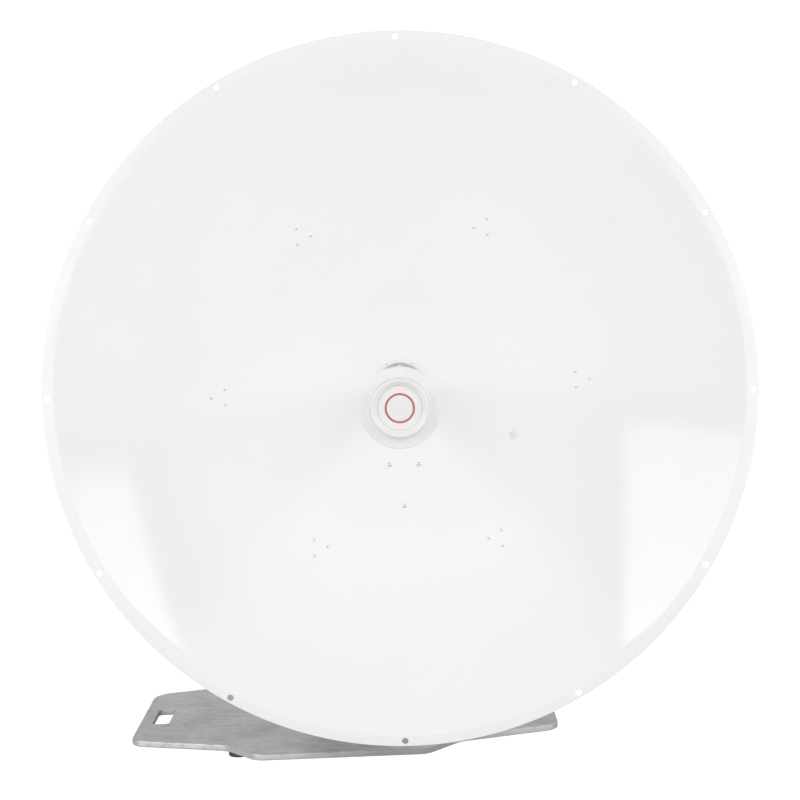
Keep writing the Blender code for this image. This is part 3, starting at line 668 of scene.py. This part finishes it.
def weld_bead(points, radius, closed=False):
    """A weld seam along the points, with the ripples that the torch leaves."""
    curve = curve_through([points], "3D", radius, closed)
    curve.use_fill_caps = not closed
    for index, point in enumerate(curve.splines[0].points):
        point.radius = 1.0 - 0.16 * (index % 2)
    return evaluated(linked("bead", curve))


def straight(start, end, pace=0.0016):
    """Points along a straight seam."""
    start, end = Vector(start), Vector(end)
    count = max(2, round((end - start).length / pace))
    return [start.lerp(end, step / count) for step in range(count + 1)]


def joined(shapes):
    whole = bmesh.new()
    for shape in shapes:
        mesh = as_mesh("joined", shape)
        whole.from_mesh(mesh)
        bpy.data.meshes.remove(mesh)
    return whole


def dyed(shape, index):
    """Give every face of the shape the piece's material of this number."""
    for face in shape.faces:
        face.material_index = index
    return shape


def hexagon(rod, low, high):
    """A nut or head with chamfered corners, along Z, for a rod of this radius."""
    flat = 1.5155 * rod
    face = 0.95 * flat
    count = 36
    shape = bmesh.new()
    columns = []
    for index in range(count):
        angle = FULL_TURN * index / count
        reach = flat / cos((angle + pi / 6) % (pi / 3) - pi / 6)
        drop = (reach - 0.97 * flat) * tan(pi / 6)
        profile = ((face, low), (reach, low + drop), (reach, high - drop), (face, high))
        columns.append([shape.verts.new((*polar(radius, angle), height)) for radius, height in profile])
    for this, after in zip(columns, columns[1:] + columns[:1]):
        for k in range(3):
            shape.faces.new((this[k], after[k], after[k + 1], this[k + 1]))
    shape.faces.new([column[0] for column in reversed(columns)])
    shape.faces.new([column[3] for column in columns])
    return shape


def washer(rod, low, high):
    return ring(rod + CLEARANCE, 1.75 * rod, low, high, 0.0004, 48)


def thread(rod, pitch, low, high):
    """A closed rod along Z with a helical thread."""
    steps = 24
    lanes = 4
    depth = 0.61 * pitch
    shape = bmesh.new()
    rows = []
    for lane in range(-lanes, ceil((high - low) / pitch) * lanes + 1):
        crest = lane % lanes in (1, 2)
        row = []
        for index in range(steps):
            height = low + pitch * (lane / lanes + index / steps)
            radius = rod if crest else rod - depth
            if not low < height < high:
                height = min(max(height, low), high)
                radius = rod - depth
            angle = FULL_TURN * index / steps
            row.append(shape.verts.new((*polar(radius, angle), height)))
        rows.append(row)
    for number in range(len(rows) - 1):
        for i in range(steps):
            j = (i + 1) % steps
            over = lanes if j == 0 else 0
            if number + 1 + over >= len(rows):
                continue
            near, far = rows[number + over][j], rows[number + 1 + over][j]
            shape.faces.new((rows[number][i], near, far, rows[number + 1][i]))
    bmesh.ops.remove_doubles(shape, verts=shape.verts, dist=0.00001)
    bmesh.ops.holes_fill(shape, edges=[edge for edge in shape.edges if edge.is_boundary], sides=0)
    return shape


def cut(shape, tools):
    """The shape less the tools."""
    objects = []
    for bm in (shape, joined(tools)):
        bmesh.ops.recalc_face_normals(bm, faces=bm.faces)
        objects.append(linked("cut", as_mesh("cut", bm)))
    body, tool = objects
    modifier = body.modifiers.new("cut", "BOOLEAN")
    modifier.operation = "DIFFERENCE"
    modifier.solver = "EXACT"
    modifier.object = tool
    result = evaluated(body)
    bpy.data.objects.remove(tool, do_unlink=True)
    return result


def copied(shape, matrices):
    """The shape once at each of the places, as one shape."""
    copies = [moved(shape.copy(), matrix) for matrix in matrices]
    shape.free()
    return joined(copies)


def on_bowl(x, y):
    """A place on the dish's front surface, with Z along the surface's normal."""
    radius = hypot(x, y)
    tilt = atan(dish_slope(radius))
    return DISH @ shift(x, y, dish_depth(radius)) @ turn(atan2(y, x), "Z") @ turn(-tilt, "Y")


def show(name, shape, body, slot, *stands_for, looks=None, sharp=32):
    """Turn a shape into a piece that rides a body. Its look is the slot's, or those that looks names."""
    bmesh.ops.recalc_face_normals(shape, faces=shape.faces)
    mesh = as_mesh(name, shape)
    for look in looks or [slot]:
        mesh.materials.append(LOOKS[look])
    mesh.shade_smooth()
    mesh.set_sharp_from_angle(angle=radians(sharp))
    obj = linked(name, mesh)
    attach(obj, body)
    if stands_for:
        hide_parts(*stands_for)


def show_on_axis(node, shape, slot):
    """Show a shape made about the dish's axis in place of a node."""
    show(node + "_fine", moved(shape, DISH), "dish", slot, node)


# The dish

def reflector_skin():
    rings = 56
    front = []
    back = []
    for index in range(rings + 1):
        radius = CENTRE_HOLE_RADIUS + (BOWL_RADIUS - CENTRE_HOLE_RADIUS) * index / rings
        slope = dish_slope(radius)
        length = hypot(1, slope)
        front.append((radius, dish_depth(radius), 0))
        back.append((radius + SKIN * slope / length, dish_depth(radius) - SKIN / length, 0))
    under = RIM_DEPTH - SKIN
    slope = dish_slope(BOWL_RADIUS)
    bend = (BOWL_RADIUS + SKIN * (hypot(1, slope) - 1) / slope, under, RIM_BEND + SKIN)
    front[-1] = (BOWL_RADIUS, RIM_DEPTH, RIM_BEND)
    rim = [(DISH_RADIUS, RIM_DEPTH, RIM_EDGE), (DISH_RADIUS, under, RIM_EDGE), bend]
    shape = turned(rounded(front + rim + back[-2::-1], 5), 288, closed=True)
    drill = moved(disc(RIM_HOLE_RADIUS, -3 * SKIN, 2 * SKIN, 0.0, 32), shift(z=RIM_DEPTH))
    places = around(RIM_HOLE_COUNT, RIM_HOLE_CIRCLE, RIM_HOLE_TURN)
    shape = cut(shape, [copied(drill, places)])
    # Faces beyond the bowl get the flange paint, which carries painted shade towards its top.
    for face in shape.faces:
        middle = face.calc_center_median()
        face.material_index = int(hypot(middle.x, middle.y) > BOWL_RADIUS)
    looks = ("white_skin", "white_flange_painted_shade")
    show("reflector_skin", moved(shape, DISH), "dish", "white_skin", "reflector", looks=looks, sharp=40)


def blind_rivet(radius, height, bore, stub, steps):
    """A domed head whose hollow shows the end of the broken mandrel."""
    dome = [(radius * cos(a), height * sin(a)) for a in (1.0, 0.75, 0.5, 0.25, 0)]
    hollow = [(0, -0.0006), (bore, -0.0006), (bore, height - 0.0002), (bore + 0.0002, height)]
    head = turned([*hollow, *dome, (radius, -0.0004), (0, -0.0008)], steps)
    return joined([head, dyed(disc(bore - 0.0001, -0.0005, stub, 0.0001, 16), 1)])


def rivets():
    places = []
    for angle in ARM_ANGLES:
        for corner in range(3):
            x, y = polar(PAD_CIRCLE, angle)
            dx, dy = polar(RIVET_TRIANGLE, angle + corner * FULL_TURN / 3)
            places.append(on_bowl(x + dx, y + dy))
    shape = copied(blind_rivet(*RIVET, 24), places)
    show("skin_rivets", shape, "dish", "white_skin", looks=("white_skin", "dark_metal"))
    places = [on_bowl(*polar(HUB_RIVET_CIRCLE, angle)) for angle in ARM_ANGLES]
    shape = copied(blind_rivet(*HUB_RIVET, 20), places)
    show("hub_rivets", shape, "dish", "white_skin", looks=("white_skin", "zinc"))


def pan_screw(radius, height):
    """A pan head with a cross recess, its underside at Z = 0."""
    dome = [(radius * cos(a), height * (0.35 + 0.65 * sin(a))) for a in (0, 0.3, 0.6, 0.9, 1.2)]
    head = turned([(0, height), *dome[::-1], (radius, 0), (0, 0)], 32)
    for angle in (0, QUARTER):
        arm = plate([rounded_box(0.62 * radius, 0.13 * radius, 0.05 * radius)], height, 0.00005)
        head = cut(head, [moved(arm, turn(angle, "Z") @ shift(z=height))])
    return head


def lug_screws():
    places = [on_bowl(x, y) @ turn(0.4 + x * 40, "Z") for x, y in LUG_SCREWS]
    shape = copied(pan_screw(*LUG_SCREW_HEAD), places)
    show("lug_screws", shape, "dish", "zinc", sharp=25)
    deck = dish_back(LUG_RADIUS) - GAP - LUG_PLATE
    back = [DISH @ shift(x, y, deck) @ turn(-LUG_SLOPE, "X") for x, y in LUG_SCREWS]
    nut = joined([hexagon(M5[0] * 1.1, -0.0042, -0.0002), thread(M5[0], M5[1], -0.0070, -0.0030)])
    show("lug_nuts", copied(nut, back), "dish", "zinc")


def hub():
    inner = TUBE_RADIUS + CLEARANCE
    radius, low, high = along_axis("hub_disc")
    show_on_axis("hub_disc", ring(inner, radius, low, high, 0.0012, 128), "dark_metal")
    places = [
        DISH @ shift(z=high) @ place @ turn(0.5 * index, "Z")
        for index, place in enumerate(around(6, HUB_SCREW_CIRCLE, QUARTER))
    ]
    show("hub_screws", copied(pan_screw(*HUB_SCREW_HEAD), places), "dish", "zinc", sharp=25)

    radius, low, high = along_axis("hub_sleeve")
    face = along_axis("back_frame")[2] + GAP
    profile = rounded((
        (inner, high, 0.0005), (radius, high, 0.001), (radius, face, 0.001),
        (HUB_NECK_RADIUS, face, 0.0), (HUB_NECK_RADIUS, low, 0.001), (inner, low, 0.0005),
    ), 3)
    show_on_axis("hub_sleeve", turned(profile, 128, closed=True), "cast_aluminium")

    radius, low, high = along_axis("hub_ring")
    half_width, depth = RING_NOTCH
    outline = []
    for index in range(6):
        angle = index * pi / 3
        edge = half_width / radius
        outline += arc((0, 0), radius, angle + edge, angle + pi / 3 - edge, 12)
        outline += arc((0, 0), radius - depth, angle + pi / 3 - edge, angle + pi / 3 + edge, 2)
    shape = plate([outline, circle((0, 0), HUB_NECK_RADIUS + CLEARANCE, 96)], high - low, 0.0006)
    shape = moved(shape, DISH @ shift(z=(low + high) / 2))
    show("hub_ring_notched", shape, "dish", "zinc", "hub_ring")


def feed():
    _, low, high = along_axis("feed_tube")
    show_on_axis("feed_tube", ring(TUBE_BORE, TUBE_RADIUS, low, high, 0.0004), "bare_aluminium")

    half, low, high = along_axis("waveguide_flange")
    holes = [circle((0, 0), TUBE_BORE, 96)]
    for x in (-PORT_HOLE_PLACE, PORT_HOLE_PLACE):
        holes += [circle((x, y), PORT_HOLE_RADIUS, 32) for y in (-PORT_HOLE_PLACE, PORT_HOLE_PLACE)]
    flange = plate([rounded_box(half, half, PORT_CORNER)] + holes, PORT_THICKNESS)
    flange = moved(flange, shift(z=low + PORT_THICKNESS / 2))
    sleeve = ring(TUBE_BORE, PORT_SLEEVE_RADIUS, low + PORT_THICKNESS - EDGE, high, 0.0006)
    show_on_axis("waveguide_flange", joined([flange, sleeve]), "bare_aluminium")

    radius, low, high = along_axis("dielectric_cone")
    inner = TUBE_RADIUS + GAP
    neck = low + CONE_NECK_LENGTH
    rim = high - CONE_RIM
    profile = [(0, high, 0), (radius, high, 0.001), (radius, rim, 0.002)]
    steps = 3
    for index in range(steps):
        part = (index + 0.5) / (steps + 0.5)
        across = radius + (CONE_NECK_RADIUS - radius) * part
        along = rim + (neck - rim) * part
        profile += [(across + 0.0016, along + 0.0016, 0.0004), (across - 0.0016, along + 0.0010, 0.0004)]
    profile += [(CONE_NECK_RADIUS, neck, 0.004), (CONE_NECK_RADIUS, low, 0.0008), (inner, low, 0.0004)]
    tube_end = along_axis("feed_tube")[2] + GAP
    profile += [(inner, tube_end, 0), (0, tube_end, 0)]
    show_on_axis("dielectric_cone", turned(rounded(profile, 4), 128), "off_white_plastic")

    radius, low, high = along_axis("splash_plate")
    show_on_axis("splash_plate", disc(radius, low, high, 0.0006, 128), "bare_aluminium")


def feed_cap():
    radius, rear, front = along_axis("feed_cap")
    brim = front - CAP_BRIM_STEP
    floor = front - CAP_RECESS_DEPTH
    inner, outer, depth = CAP_GROOVE
    profile = rounded([
        (0, floor, 0), (inner, floor, 0.0001), (inner, floor - depth, 0.0001),
        (outer, floor - depth, 0.0001), (outer, floor, 0.0001), (CAP_CREST[0], front, 0.002),
        (CAP_CREST[1], front, 0.002), (CAP_RIDGE_RADIUS, brim, CAP_FILLET), (radius, brim, 0.002),
        (radius, rear, 0.0008), (0, rear, 0),
    ])
    show_on_axis("feed_cap", turned(profile, 160), "off_white_plastic")

    top = floor + LABEL_THICKNESS
    shape = moved(disc(LABEL_RADIUS, floor, top, 0.00005, 128), DISH)
    show("label_disc", shape, "dish", "off_white_plastic", looks=("label_white",))
    print_top = top + LABEL_THICKNESS / 2
    shape = ring(LABEL_RING_INNER, LABEL_RADIUS - 0.0001, top - 0.00005, print_top, 0.00002, 128)
    show("label_ring", moved(shape, DISH), "dish", "off_white_plastic", looks=("label_red",))


def lashing_lug():
    root = -GAP - LUG_PLATE / 2
    base = moved(plate([rounded(LUG_PLATE_CORNERS)], LUG_PLATE), shift(z=root))
    half = LUG_FIN_HALF_LENGTH
    side = rounded(mirrored([(-half, root, 0), (-half, -LUG_REACH, LUG_FIN_CORNER)]))
    eye = circle((0, LUG_HOLE_FROM_TIP - LUG_REACH), LUG_HOLE_RADIUS)
    fin = moved(plate([side, eye], LUG_FIN), turn(QUARTER, "Z") @ turn(QUARTER, "X"))
    deck = -GAP - LUG_PLATE
    thick = LUG_FIN / 2
    seams = [straight((x, -half, deck), (x, half, deck)) for x in (-thick, thick)]
    seams += [straight((-thick, y, deck), (thick, y, deck)) for y in (-half, half)]
    beads = [weld_bead(seam, 0.0030) for seam in seams]
    seat = DISH @ shift(y=-LUG_RADIUS, z=dish_back(LUG_RADIUS)) @ turn(-LUG_SLOPE, "X")
    shape = moved(joined([base, fin] + beads), seat)
    show("lashing_lug_welded", shape, "dish", "galvanised", "lashing_lug")


def back_frame():
    edge = []
    slots = []
    meet = asin(ARM_HALF_WIDTH / FRAME_HUB_RADIUS)
    step = FULL_TURN / ARM_COUNT
    near, far = ARM_SLOT
    for index in range(ARM_COUNT):
        angle = index * step
        edge += arc(polar(PAD_CIRCLE, angle), ARM_HALF_WIDTH, angle - QUARTER, angle + QUARTER, 20)
        edge += arc((0, 0), FRAME_HUB_RADIUS, angle + meet, angle + step - meet, 12)
        slot = arc(polar(far, angle), ARM_SLOT_HALF_WIDTH, angle - QUARTER, angle + QUARTER, 12)
        slot += arc(polar(near, angle), ARM_SLOT_HALF_WIDTH, angle + QUARTER, angle + 3 * QUARTER, 12)
        slots.append(slot)
    _, low, high = along_axis("back_frame")
    hole = circle((0, 0), HUB_NECK_RADIUS + CLEARANCE, 96)
    seat = DISH @ shift(z=(low + high) / 2) @ turn(FRAME_TURN, "Z")
    shape = moved(plate([edge, hole] + slots, high - low, 0.001), seat)
    show("back_frame_fine", shape, "dish", "galvanised", "back_frame")

    bolt = joined([washer(M10[0], -0.0020, 0), hexagon(M10[0], -0.0084, -0.0021)])
    places = [DISH @ shift(z=low) @ place for place in around(ARM_COUNT, PAD_CIRCLE, FRAME_TURN)]
    show("arm_bolts", copied(bolt, places), "dish", "zinc")


def frame_pads():
    back = dish_back(PAD_CIRCLE)
    top = back - PAD_THICKNESS / 2
    low = along_axis("back_frame")[2] + GAP
    tilted = shift(PAD_CIRCLE, 0, back) @ turn(-atan(dish_slope(PAD_CIRCLE)), "Y")
    for number, angle in enumerate(ARM_ANGLES, 1):
        pad = moved(disc(PAD_RADIUS, -PAD_THICKNESS - GAP, -GAP, 0.0012, 72), tilted)
        post = turned(rounded((
            (0, top, 0), (POST_RADIUS, top, 0), (POST_RADIUS, low + POST_FOOT, 0.004),
            (POST_FOOT_RADIUS, low + POST_FOOT, 0.0015), (POST_FOOT_RADIUS, low, 0.0005),
            (0, low, 0),
        ), 5), 64)
        tails = []
        for corner in range(3):
            x, y = polar(RIVET_TRIANGLE, corner * FULL_TURN / 3)
            tail = disc(0.0028, -PAD_THICKNESS - 0.0030, -PAD_THICKNESS, 0.0011, 24)
            tails.append(dyed(moved(tail, tilted @ shift(x, y)), 1))
        shape = joined([pad, moved(post, shift(PAD_CIRCLE))] + tails)
        shape = moved(shape, DISH @ turn(angle, "Z"))
        looks = ("cast_aluminium", "zinc")
        node = f"frame_pad_{number}"
        show(f"frame_pad_cast_{number}", shape, "dish", "cast_aluminium", node, looks=looks)


def elevation_yoke():
    low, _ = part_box("elevation_yoke")
    panel_front = low.y - PIVOT.y
    panel_middle = panel_front + YOKE_PANEL_THICKNESS / 2
    panel_back = panel_front + YOKE_PANEL_THICKNESS
    up = AXIS_Z - PIVOT.z
    outlines = [rounded_box(*YOKE_PANEL), rounded_box(*YOKE_WINDOW)]
    panel = moved(plate(outlines, YOKE_PANEL_THICKNESS, 0.001), turn(QUARTER, "X"))
    shapes = [moved(panel, shift(y=panel_middle, z=up))]
    root = -panel_middle
    foot, top = YOKE_CHEEK
    side = rounded([(root, foot, 0.001), (root, top, 0.001), YOKE_TOP_CORNER, YOKE_HEEL_CORNER])
    outlines = [side, circle((0, 0), M16[0] + CLEARANCE), lock_slot()]
    for sign in (-1, 1):
        cheek = moved(plate(outlines, YOKE_PLATE, 0.001), turn(-QUARTER, "Z") @ turn(QUARTER, "X"))
        middle = sign * (YOKE_HALF_WIDTH - YOKE_PLATE / 2)
        shapes.append(moved(cheek, shift(x=middle)))
        for x in (middle - YOKE_PLATE / 2, middle + YOKE_PLATE / 2):
            seam = straight((x, panel_back, foot + 0.004), (x, panel_back, top - 0.004))
            shapes.append(weld_bead(seam, 0.0036))
    shape = moved(joined(shapes), at(PIVOT))
    show("elevation_yoke_welded", shape, "dish", "galvanised", "elevation_yoke")

    _, frame_low, frame_high = along_axis("back_frame")
    places = [
        at((PIVOT.x + x, PIVOT.y + panel_back, AXIS_Z + z)) @ turn(-QUARTER, "X")
        for x, z in YOKE_BOLTS
    ]
    stack = frame_high - frame_low + GAP + YOKE_PANEL_THICKNESS
    bolt = joined([
        washer(M10[0] * 1.1, 0, 0.0018), hexagon(M10[0], 0.0019, 0.0078),
        ring(M10[0], 0.0125, -stack - 0.0025, -stack, 0.0004, 48),
        hexagon(M10[0], -stack - 0.0100, -stack - 0.0026),
        thread(M10[0], M10[1], -stack - 0.0135, -stack - 0.0090),
    ])
    show("yoke_bolts", copied(bolt, places), "dish", "zinc")


def lock_slot():
    """Outline of the curved slot about the pivot, in (forward, up)."""
    start, end = LOCK_SLOT_ENDS
    half = LOCK_SLOT_HALF_WIDTH
    outline = arc((0, 0), LOCK_RADIUS + half, start, end, 24)
    outline += arc(polar(LOCK_RADIUS, end), half, end, end - pi, 14)[1:-1]
    outline += arc((0, 0), LOCK_RADIUS - half, end, start, 24)
    outline += arc(polar(LOCK_RADIUS, start), half, start - pi, start - FULL_TURN, 14)[1:-1]
    return outline


# The azimuth mount

def azimuth_bracket():
    low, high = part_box("azimuth_bracket")
    back = high.y - PIVOT.y
    front = -BRACKET_NOSE
    web = back - BRACKET_PLATE
    inner = BRACKET_HALF_WIDTH - BRACKET_PLATE
    bend = BRACKET_BEND - BRACKET_PLATE + 0.002
    outline = rounded(mirrored([
        (-BRACKET_HALF_WIDTH, back, BRACKET_BEND), (-BRACKET_HALF_WIDTH, front, 0),
        (-inner, front, 0), (-inner, web, bend),
    ]))
    channel = plate([outline], high.z - low.z, 0.001)
    shape = moved(channel, at((PIVOT.x, PIVOT.y, (low.z + high.z) / 2)))
    show("azimuth_bracket_bent", shape, "azimuth_mount", "galvanised", "azimuth_bracket")


def clamps():
    half_angle = asin(CLAMP_SPLIT / BORE)
    notch = [(x, y, 0) for x, y in arc((0, 0), BORE, -half_angle, -pi + half_angle, 48)]
    outline = rounded(notch + mirrored(CLAMP_HALF), 6)
    for node in ("saddle_lower", "saddle_upper", "clamp_jaw_lower", "clamp_jaw_upper"):
        low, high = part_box(node)
        shape = plate([outline], high.z - low.z, 0.0015)
        if node.startswith("clamp_jaw"):
            shape = moved(shape, turn(pi, "Z"))
        shape = moved(shape, at((MAST.x, MAST.y, (low.z + high.z) / 2)))
        show(node + "_cast", shape, "azimuth_mount", "cast_aluminium", node)


def mount_bolts():
    rod, pitch = M12
    near = CLAMP_EAR_DEPTH + GAP
    for corner in ("lower_left", "lower_right", "upper_left", "upper_right"):
        node = "clamp_stud_" + corner
        low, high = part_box(node)
        end = (high.y - low.y) / 2
        parts = [disc(rod - 0.0004, -near, near, 0.0002, 32)]
        for half_turn in (0, pi):
            ends = [washer(rod, near, near + 0.002), hexagon(rod, near + 0.0021, near + NUT)]
            ends.append(thread(rod, pitch, near + 0.008, end))
            parts.append(moved(joined(ends), turn(half_turn, "X")))
        shape = moved(joined(parts), at((low + high) / 2) @ turn(QUARTER, "X"))
        show(node + "_threaded", shape, "azimuth_mount", "zinc", node)

    rod, pitch = M16
    between = (BRACKET_HALF_WIDTH + GAP, YOKE_HALF_WIDTH - YOKE_PLATE - GAP)
    outside = (YOKE_HALF_WIDTH + GAP, YOKE_HALF_WIDTH + GAP + WASHER_THICKNESS)
    end = outside[1]
    parts = [disc(rod, -end, end, 0.0002, 48)]
    for half_turn in (0, pi):
        parts.append(moved(joined([washer(rod, *between), washer(rod, *outside)]), turn(half_turn, "X")))
    parts += [
        hexagon(rod, -end - NUT, -end - 0.0001), hexagon(rod, end + 0.0001, end + NUT),
        thread(rod, pitch, end + NUT - 0.003, end + NUT + 0.003),
    ]
    shape = moved(joined(parts), at(PIVOT) @ turn(QUARTER, "Y"))
    show("pivot_bolt_threaded", shape, "azimuth_mount", "zinc", "pivot_bolt")

    inner = BRACKET_HALF_WIDTH - BRACKET_PLATE - GAP
    for side, angle in (("left", pi), ("right", 0)):
        parts = [
            disc(rod, inner - NUT, end, 0.0002, 48), washer(rod, *between), washer(rod, *outside),
            hexagon(rod, inner - NUT, inner), hexagon(rod, end + 0.0001, end + NUT),
            thread(rod, pitch, inner - NUT - 0.003, inner - NUT + 0.003),
        ]
        place = at(PIVOT) @ shift(z=LOCK_RADIUS) @ turn(angle, "Z") @ turn(QUARTER, "Y")
        node = "lock_bolt_" + side
        show(node + "_threaded", moved(joined(parts), place), "azimuth_mount", "zinc", node)


# The stand

def base_plate():
    right = [(x, -y, radius) for x, y, radius in PLATE_FRONT] + list(PLATE_REAR)
    outlines = [rounded(mirrored(right), 14)]
    outlines += [rounded_box(*HANDLE_SLOT, (x, 0)) for x in (-HANDLE_SLOT_X, HANDLE_SLOT_X)]
    shape = plate(outlines, PLATE_HIGH.z - PLATE_LOW.z, PLATE_EDGE)
    shape.normal_update()
    for face in shape.faces:
        middle = face.calc_center_median()
        from_slot = abs(abs(middle.x) - HANDLE_SLOT_X)
        in_slot = from_slot < HANDLE_SLOT[0] + GAP and abs(middle.y) < HANDLE_SLOT[1] + GAP
        # Slot walls get a darker copy of the cut-edge zinc: painted shade inside the slots.
        wall = 2 if in_slot else 1
        face.material_index = 0 if abs(face.normal.z) > 0.4 else wall
    shape = moved(shape, STAND @ shift(z=(PLATE_HIGH.z + PLATE_LOW.z) / 2))
    looks = ("plate_top", "plate_edge_painted_shade", "slot_wall_painted_shade")
    show("base_plate_cut", shape, "stand", "galvanised", "base_plate", looks=looks)


def feet():
    for side in ("front_left", "front_right", "rear_left", "rear_right"):
        node = "foot_" + side
        low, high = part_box(node)
        radius = (high.x - low.x) / 2
        profile = rounded((
            (0, high.z, 0), (radius, high.z, 0.0005), (radius, low.z, 0.002),
            (0.006, low.z, 0.0005), (0.005, low.z + 0.004, 0.0005), (0, low.z + 0.004, 0),
        ), 4)
        middle = (low + high) / 2
        shape = moved(turned(profile, 64), shift(middle.x, middle.y))
        show(node + "_moulded", shape, "stand", "rubber", node)


def mast_socket():
    low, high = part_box("mast_socket")
    flange_radius, flange_thickness = SOCKET_FLANGE
    deck = low.z + flange_thickness
    shapes = [turned(rounded((
        (BORE, high.z, 0.0008), (SOCKET_RADIUS, high.z, 0.0015), (SOCKET_RADIUS, deck, 0.0),
        (flange_radius, deck, 0.0015), (flange_radius, low.z, 0.001), (BORE, low.z, 0.0),
    ), 4), 128, closed=True)]
    inner = SOCKET_RADIUS - 0.002
    top = deck + GUSSET_HEIGHT
    outline = rounded([
        (inner, deck - 0.002, 0), (GUSSET_REACH, deck - 0.002, 0), (GUSSET_REACH, deck + GUSSET_TOE, 0.003),
        (SOCKET_RADIUS + GUSSET_SHOULDER, top, 0.003), (inner, top, 0),
    ])
    half = GUSSET_THICKNESS / 2
    for index in range(4):
        parts = [moved(plate([outline], GUSSET_THICKNESS), turn(QUARTER, "X"))]
        for y in (-half, half):
            x = SOCKET_RADIUS - GAP
            foot = straight((SOCKET_RADIUS, y, deck), (GUSSET_REACH, y, deck))
            wall = straight((x, y, deck), (x, y, top))
            parts += [weld_bead(foot, 0.0032), weld_bead(wall, 0.0032)]
        shapes.append(moved(joined(parts), turn((index + 0.5) * QUARTER, "Z")))
    seam = [(*polar(SOCKET_RADIUS, FULL_TURN * index / 210), deck) for index in range(210)]
    shapes.append(weld_bead(seam, 0.0036, closed=True))
    shape = moved(joined(shapes), STAND)
    show("mast_socket_welded", shape, "stand", "galvanised", "mast_socket")

    bolt = joined([washer(M12[0] * 1.1, 0, 0.0022), hexagon(M12[0], 0.0023, 0.0098)])
    places = [
        STAND @ shift(z=deck) @ place @ turn(0.3 * index, "Z")
        for index, place in enumerate(around(4, ANCHOR_CIRCLE))
    ]
    show("anchor_bolts", copied(bolt, places), "stand", "zinc")
    grip = [hexagon(M10[0], -0.001, 0.008), disc(M10[0], 0, 0.014, 0.0003, 32)]
    grip.append(hexagon(M10[0], 0.0125, 0.0190))
    level = STAND @ shift(z=high.z - 0.030)
    places = [level @ place @ turn(QUARTER, "Y") for place in around(4, SOCKET_RADIUS, -QUARTER)]
    show("socket_screws", copied(joined(grip), places), "stand", "zinc")


def mast():
    shape = ring(MAST_RADIUS - MAST_WALL, MAST_RADIUS, MAST_LOW.z, MAST_HIGH.z, 0.0006, 128)
    show("mast_tube", moved(shape, STAND), "stand", "galvanised", "mast")

    low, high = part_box("mast_cap")
    outer = (high.x - low.x) / 2
    inner = MAST_RADIUS + GAP
    under = MAST_HIGH.z + GAP
    profile = rounded((
        (0, high.z - 0.0004, 0), (0.005, high.z - 0.0004, 0.0), (0.006, high.z, 0.0),
        (outer, high.z, 0.0028), (outer, low.z, 0.0006), (inner, low.z, 0.0006), (inner, under, 0),
        (0, under, 0),
    ), 6)
    show("mast_cap_moulded", moved(turned(profile, 128), STAND), "stand", "black_plastic", "mast_cap")

    low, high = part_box("mast_collar")
    outer = (high.x - low.x) / 2
    shape = moved(ring(BORE, outer, low.z, high.z, 0.0015, 128), STAND)
    sockets = [
        STAND @ turn(angle, "Z") @ shift(outer, 0, (low.z + high.z) / 2) @ turn(QUARTER, "Y")
        for angle in (-QUARTER, radians(30), radians(150))
    ]
    shape = cut(shape, [copied(disc(0.0052, -0.006, 0.002, 0.0, 32), sockets)])
    show("mast_collar_drilled", shape, "stand", "galvanised", "mast_collar")
    screw = cut(disc(0.0048, -0.0055, -0.0020, 0.0004, 32), [hexagon(0.0018, -0.0045, 0.001)])
    show("collar_screws", copied(screw, sockets), "stand", "black_plastic")


def all_looks():
    sand = (900, 3.0)
    rings = (60, 3.0, (0.4, 30, 0.4))
    dust = (130, 4.0)
    paper = (260, 2.0)
    matt = ((90, 2.0), (0.34, 0.5))
    return {
        "white_skin": white_paint("white_paint"),
        "white_flange_painted_shade": white_paint("white_paint_flange_painted_shade", 0.38),
        "galvanised": galvanised("galvanised_steel", 0.50),
        "plate_top": galvanised("galvanised_plate", 0.555, streaks=0.85),
        "plate_edge_painted_shade": galvanised("galvanised_cut_edge_painted_shade", 0.70, edge=True),
        # Darker than the cut edge: painted shade inside the handle slots.
        "slot_wall_painted_shade": galvanised("galvanised_slot_wall", 0.52, edge=True),
        "cast_aluminium": plain(
            "cast_aluminium", 0.85, (30, 4.0), grey(0.46), grey(0.58),
            sand, (0.44, 0.62), sand, (0.00025, 0.7)),
        "zinc": plain(
            "zinc_plate", 1.0, (55, 2.0), (0.60, 0.62, 0.65), (0.70, 0.69, 0.64),
            (300, 3.0), (0.24, 0.38), (700, 2.0), (0.00004, 0.5)),
        "dark_metal": plain(
            "dark_anodised", 0.5, (120, 3.0), grey(0.36), grey(0.46),
            (260, 2.0), (0.36, 0.5), (1100, 2.0), (0.00006, 0.5)),
        "bare_aluminium": plain(
            "bare_aluminium", 1.0, (18, 3.0), grey(0.62), grey(0.72),
            rings, (0.22, 0.4), rings, (0.00005, 0.6)),
        "off_white_plastic": plain(
            "off_white_plastic", 0.0, (40, 2.0), (0.728, 0.724, 0.714), (0.750, 0.746, 0.736),
            (200, 2.0), (0.30, 0.42), (1400, 2.0), (0.00003, 0.5)),
        "label_white": plain(
            "label_white", 0.0, paper, (0.705, 0.685, 0.695), (0.735, 0.715, 0.725), *matt),
        "label_red": plain(
            "label_red", 0.0, paper, (0.42, 0.095, 0.080), (0.48, 0.125, 0.105), *matt),
        "black_plastic": plain(
            "black_plastic", 0.0, (70, 3.0), grey(0.022), grey(0.036),
            (340, 2.0), (0.42, 0.58), (1200, 2.0), (0.00008, 0.6)),
        "rubber": plain(
            "rubber", 0.0, dust, grey(0.030), grey(0.085),
            dust, (0.72, 0.9), (900, 2.0), (0.0001, 0.6), (0.35, 0.75)),
    }


def main():
    clear_default_objects()
    add_camera()
    bpy.context.scene.view_settings.view_transform = "Standard"
    for panel in PANELS:
        add_panel(*panel)
    add_sky()
    add_floor()
    LOOKS.update(all_looks())
    for make in (
        reflector_skin, rivets, lug_screws, hub, feed, feed_cap, lashing_lug, back_frame, frame_pads,
        elevation_yoke, azimuth_bracket, clamps, mount_bolts, base_plate, feet, mast_socket, mast,
    ):
        make()


main()
